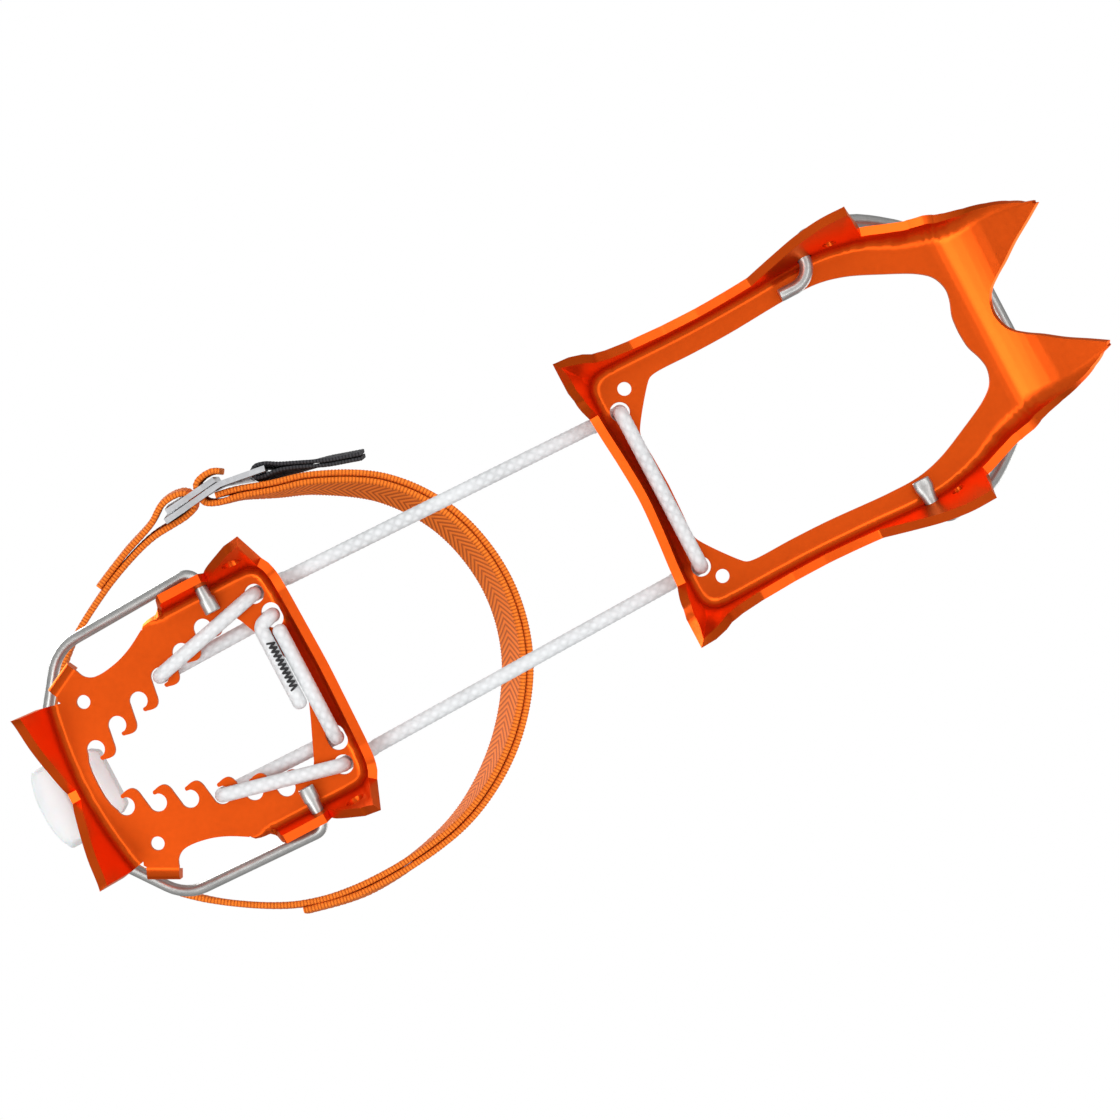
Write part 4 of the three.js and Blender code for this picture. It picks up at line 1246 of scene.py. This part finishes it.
class WireOperator(bpy.types.Operator):
    """Bends the toe bail and the heel wire, with their flattened and crimped ends"""

    bl_idname = "crampon.wires"
    bl_label = "Wires"

    def execute(self, context):
        self.toe_bail()
        self.heel_wire()
        return {"FINISHED"}

    def toe_bail(self):
        hole = SEAT - TOE_DROP
        outer = RAIL_Y + TOE_DROP * 0.2 + 3.4
        inner = RAIL_Y - 8
        arm = [
            [TOE_HOLE_X, outer, hole, 5], [87, outer - 0.8, hole + 10, 8], [104, 35, hole + 19.5, 11],
            [117, 19, hole + 28.5, 9],
        ]
        hooked = [[TOE_HOLE_X - 11.5, -inner, hole], [TOE_HOLE_X, -inner, hole, 6.5]]
        route = [*hooked, *mirrored(arm), *reversed(arm), [TOE_HOLE_X, RAIL_Y - 9, hole]]
        cut_end = [[0, 1, 1]]
        spade = [[0, 1.35, 0.62], [2.6, 1.45, 0.6], [5.4, 1.1, 0.9], [7.5, 1, 1]]
        wire = draw_wire("toe_bail_wire", [[p[0] + FRONT_X, *p[1:]] for p in route], 2, [cut_end, spade])
        dress(wire, "toe_bail", "steel_wire", "toe_bail")

    def heel_wire(self):
        hole = SEAT - WIRE_DROP
        outer = HEEL_SIDE_Y + WIRE_DROP * 0.2 + HEEL_WIRE / 2 + 1.2
        half = [
            [EAR_X, 29.4, hole], [EAR_X, outer, hole, 4], [19, outer - 1, SEAT + 12, 7],
            [-1, 27 / 2 + 3.4, SEAT + 22, 3],
        ]
        crimp = [[0, 1.42, 0.95], [4.2, 1.42, 0.95], [4.7, 1.2, 0.95], [7.4, 1.12, 1], [8.2, 1, 1]]
        wire = draw_wire("heel_bail_wire", [*half, *reversed(mirrored(half))], HEEL_WIRE / 2, [crimp, crimp])
        dress(wire, "heel_wire", "steel_wire", "heel_wire")


class LeverOperator(bpy.types.Operator):
    """Moulds the heel lever, its catch, the tunnel for the strap and the wire's bore"""

    bl_idname = "crampon.lever"
    bl_label = "Heel lever"

    def execute(self, context):
        lever = self.body()
        self.bow(lever)
        self.catch(lever)
        bpy.ops.object.mode_set(mode="OBJECT")
        modify(lever, "BEVEL", width=1.5 * MM, segments=4, limit_method="ANGLE", angle_limit=math.radians(40),
               use_clamp_overlap=True)
        self.cut(lever)
        smooth(lever, 42)
        dress(lever, "heel_lever", "lever_plastic", "heel_lever")
        return {"FINISHED"}

    def body(self):
        """The lever's foot, extruded up level by level: height, back, front, half width."""
        bpy.ops.object.select_all(action="DESELECT")
        z, back, front, half = LEVER_LEVELS[0]
        bpy.ops.mesh.primitive_plane_add(size=1, location=place((back + front) / 2, 0, z))
        lever = bpy.context.object
        lever.name = "heel_lever_body"
        lever.scale = ((front - back) * MM, 2 * half * MM, 1)
        bpy.ops.object.transform_apply(location=True, rotation=True, scale=True)
        bpy.ops.object.mode_set(mode="EDIT")
        bpy.ops.mesh.select_mode(type="FACE")
        bpy.ops.mesh.select_all(action="SELECT")
        for (z0, back0, front0, half0), (z1, back1, front1, half1) in zip(
                LEVER_LEVELS, LEVER_LEVELS[1:]):
            move = Vector(((back1 + front1 - back0 - front0) / 2, 0, z1 - z0)) * MM
            bpy.ops.mesh.extrude_region_move(TRANSFORM_OT_translate={"value": move})
            bpy.ops.transform.resize(
                value=((front1 - back1) / (front0 - back0), half1 / half0, 1),
                center_override=place((back1 + front1) / 2, 0, z1))
        return lever

    def grab(self, lever, kind, test):
        """Selects the vertices or faces whose places on the drawing pass a test."""
        bpy.ops.mesh.select_mode(type=kind)
        bpy.ops.mesh.select_all(action="DESELECT")
        mesh = bmesh.from_edit_mesh(lever.data)
        for item in (mesh.verts if kind == "VERT" else mesh.faces):
            at = item.co if kind == "VERT" else item.calc_center_median()
            item.select = test((at - place(0, 0, 0)) / MM, item)
        mesh.select_flush_mode()
        bmesh.update_edit_mesh(lever.data)

    def bow(self, lever):
        """Cuts the body lengthwise and pulls its back out towards the middle."""
        for y in (-10.4, -7, -3.5, 3.5, 7, 10.4):
            bpy.ops.mesh.select_all(action="SELECT")
            bpy.ops.mesh.bisect(plane_co=place(0, y, 0), plane_no=(0, 1, 0))
        for reach, pull in ((11, 1.5), (7.5, 1.0), (4, 0.5)):
            self.grab(lever, "VERT", lambda at, _: at.x < -4.6 - (at.z > 70) and abs(at.y) < reach)
            bpy.ops.transform.translate(value=(-pull * MM, 0, 0))

    def catch(self, lever):
        """The plate that hooks over the boot's heel, pulled forward out of the lever's foot, with its lip."""
        low, high = CATCH_HEIGHTS

        def ahead(at, face):
            return face.normal.x > 0.9 and low < at.z < high and abs(at.y) < 10.4
        self.grab(lever, "FACE", ahead)
        for reach, narrow in ((8.6, 1.06), (2.4, 0.99), (2.6, 0.84)):
            bpy.ops.mesh.extrude_region_move(TRANSFORM_OT_translate={"value": (reach * MM, 0, 0)})
            bpy.ops.transform.resize(value=(1, narrow, 1), center_override=place(0, 0, low))
        for sign, rise in ((1, 3), (-1, 1.5)):
            self.grab(lever, "FACE", lambda at, face: face.normal.z * sign > 0.9 and at.x > 10.4)
            bpy.ops.mesh.extrude_region_move(TRANSFORM_OT_translate={"value": (0, 0, sign * rise * MM)})

    def cut(self, lever):
        bpy.ops.object.select_all(action="DESELECT")
        bpy.ops.mesh.primitive_cube_add(size=1, location=place(STRAP_BACK, 0, STRAP_HEIGHT))
        tunnel = bpy.context.object
        tunnel.scale = ((WEBBING + 2 * TOUCH) * MM, CUTTER, (WEBBING_WIDTH + 2 * TOUCH) * MM)
        bpy.ops.mesh.primitive_cylinder_add(
            vertices=32, radius=(HEEL_WIRE / 2 + TOUCH) * MM, depth=CUTTER, location=place(-1, 0, SEAT + 22),
            rotation=(math.pi / 2, 0, 0))
        bore = bpy.context.object
        for cutter in (tunnel, bore):
            modify(lever, "BOOLEAN", operation="DIFFERENCE", solver="EXACT", object=cutter)
            bpy.data.objects.remove(cutter)


class StrapOperator(bpy.types.Operator):
    """Weaves the ankle strap, its tail and the pull tab"""

    bl_idname = "crampon.strap"
    bl_label = "Strap"

    def execute(self, context):
        back = LEVER_SIDE - TOUCH
        piece = webbing("strap_back_web", [[STRAP_BACK, -back], [STRAP_BACK, back]])
        dress(piece, "heel_lever", "orange_webbing", "strap_back")
        start = place(STRAP_BACK, 0, STRAP_HEIGHT)
        end = place(20, 0, STRAP_HEIGHT)
        for name, points, node in (
            ("strap_left_web", [*STRAP_LEFT, *LEFT_TURN], "strap_left"),
            ("strap_right_web", [*STRAP_RIGHT, *RIGHT_TURN], "strap_right"),
        ):
            piece = webbing(name, points)
            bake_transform(piece)
            dress(piece, None, "orange_webbing", node)
        tail = outside(STRAP_LEFT[TAIL_END_INDEX:-2], LAYER)
        piece = webbing("strap_tail_web", [*tail, *reversed(TAIL_START)])
        dress(piece, "ankle_strap", "orange_webbing", "strap_tail")
        route = [
            [126.4, -54.2], [112, -58.6], [102, -62], [97.4, -64.6], [94.6, -65.2], [92.9, -63.8], [93.4, -62],
            [95.6, -61.1], [98.6, -60.8], [101.6, -60.2], [112, -57], [126, -52.7],
        ]

        def tip_at(x):
            free = eased(x, 98, 118)
            return strap_tip(x) * (1 - free) - LEAN * free
        piece = webbing("pull_tab_web", route, width=16, thick=1.1, relief=0.5, tip_at=tip_at)
        place(96.4, -62, STRAP_HEIGHT)
        place(103, -62, STRAP_HEIGHT)
        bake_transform(piece)
        dress(piece, None, "black_webbing", "pull_tab")
        return {"FINISHED"}


class BuckleOperator(bpy.types.Operator):
    """Polishes the buckle's two rings and rounds their edges"""

    bl_idname = "crampon.buckle"
    bl_label = "Buckle"

    def execute(self, context):
        for name in ("buckle_short_ring", "buckle_long_ring"):
            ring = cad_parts[name]
            ring.data.materials.clear()
            ring.data.materials.append(materials()["buckle_metal"])
            bevel = ring.modifiers.new("edges", "BEVEL")
            bevel.width = 0.4 * MM
            bevel.segments = 2
            bevel.limit_method = "ANGLE"
            bevel.angle_limit = math.radians(50)
        return {"FINISHED"}


class CramponPanel(bpy.types.Panel):
    """The crampon's pieces, in the order they are made"""

    bl_idname = "VIEW3D_PT_crampon"
    bl_label = "Crampon"
    bl_space_type = "VIEW_3D"
    bl_region_type = "UI"
    bl_category = "Crampon"

    def draw(self, context):
        for group in (context.scene.crampon_sizes, context.scene.crampon_colours):
            for key in group.__annotations__:
                self.layout.prop(group, key)
        for operator in OPERATORS:
            self.layout.operator(operator.bl_idname)


OPERATORS = (
    StageOperator, CordOperator, FrameOperator, WireOperator, LeverOperator, StrapOperator, BuckleOperator)
CLASSES = (CramponSizes, CramponColours, *OPERATORS, CramponPanel)


def register():
    for cls in CLASSES:
        bpy.utils.register_class(cls)
    bpy.types.Scene.crampon_sizes = bpy.props.PointerProperty(type=CramponSizes)
    bpy.types.Scene.crampon_colours = bpy.props.PointerProperty(type=CramponColours)


def unregister():
    del bpy.types.Scene.crampon_colours
    del bpy.types.Scene.crampon_sizes
    for cls in reversed(CLASSES):
        bpy.utils.unregister_class(cls)


def main():
    register()
    bpy.ops.crampon.stage()
    bpy.ops.crampon.cord()
    bpy.ops.crampon.frames()
    bpy.ops.crampon.wires()
    bpy.ops.crampon.lever()
    bpy.ops.crampon.strap()
    bpy.ops.crampon.buckle()


if __name__ == "__main__":
    main()
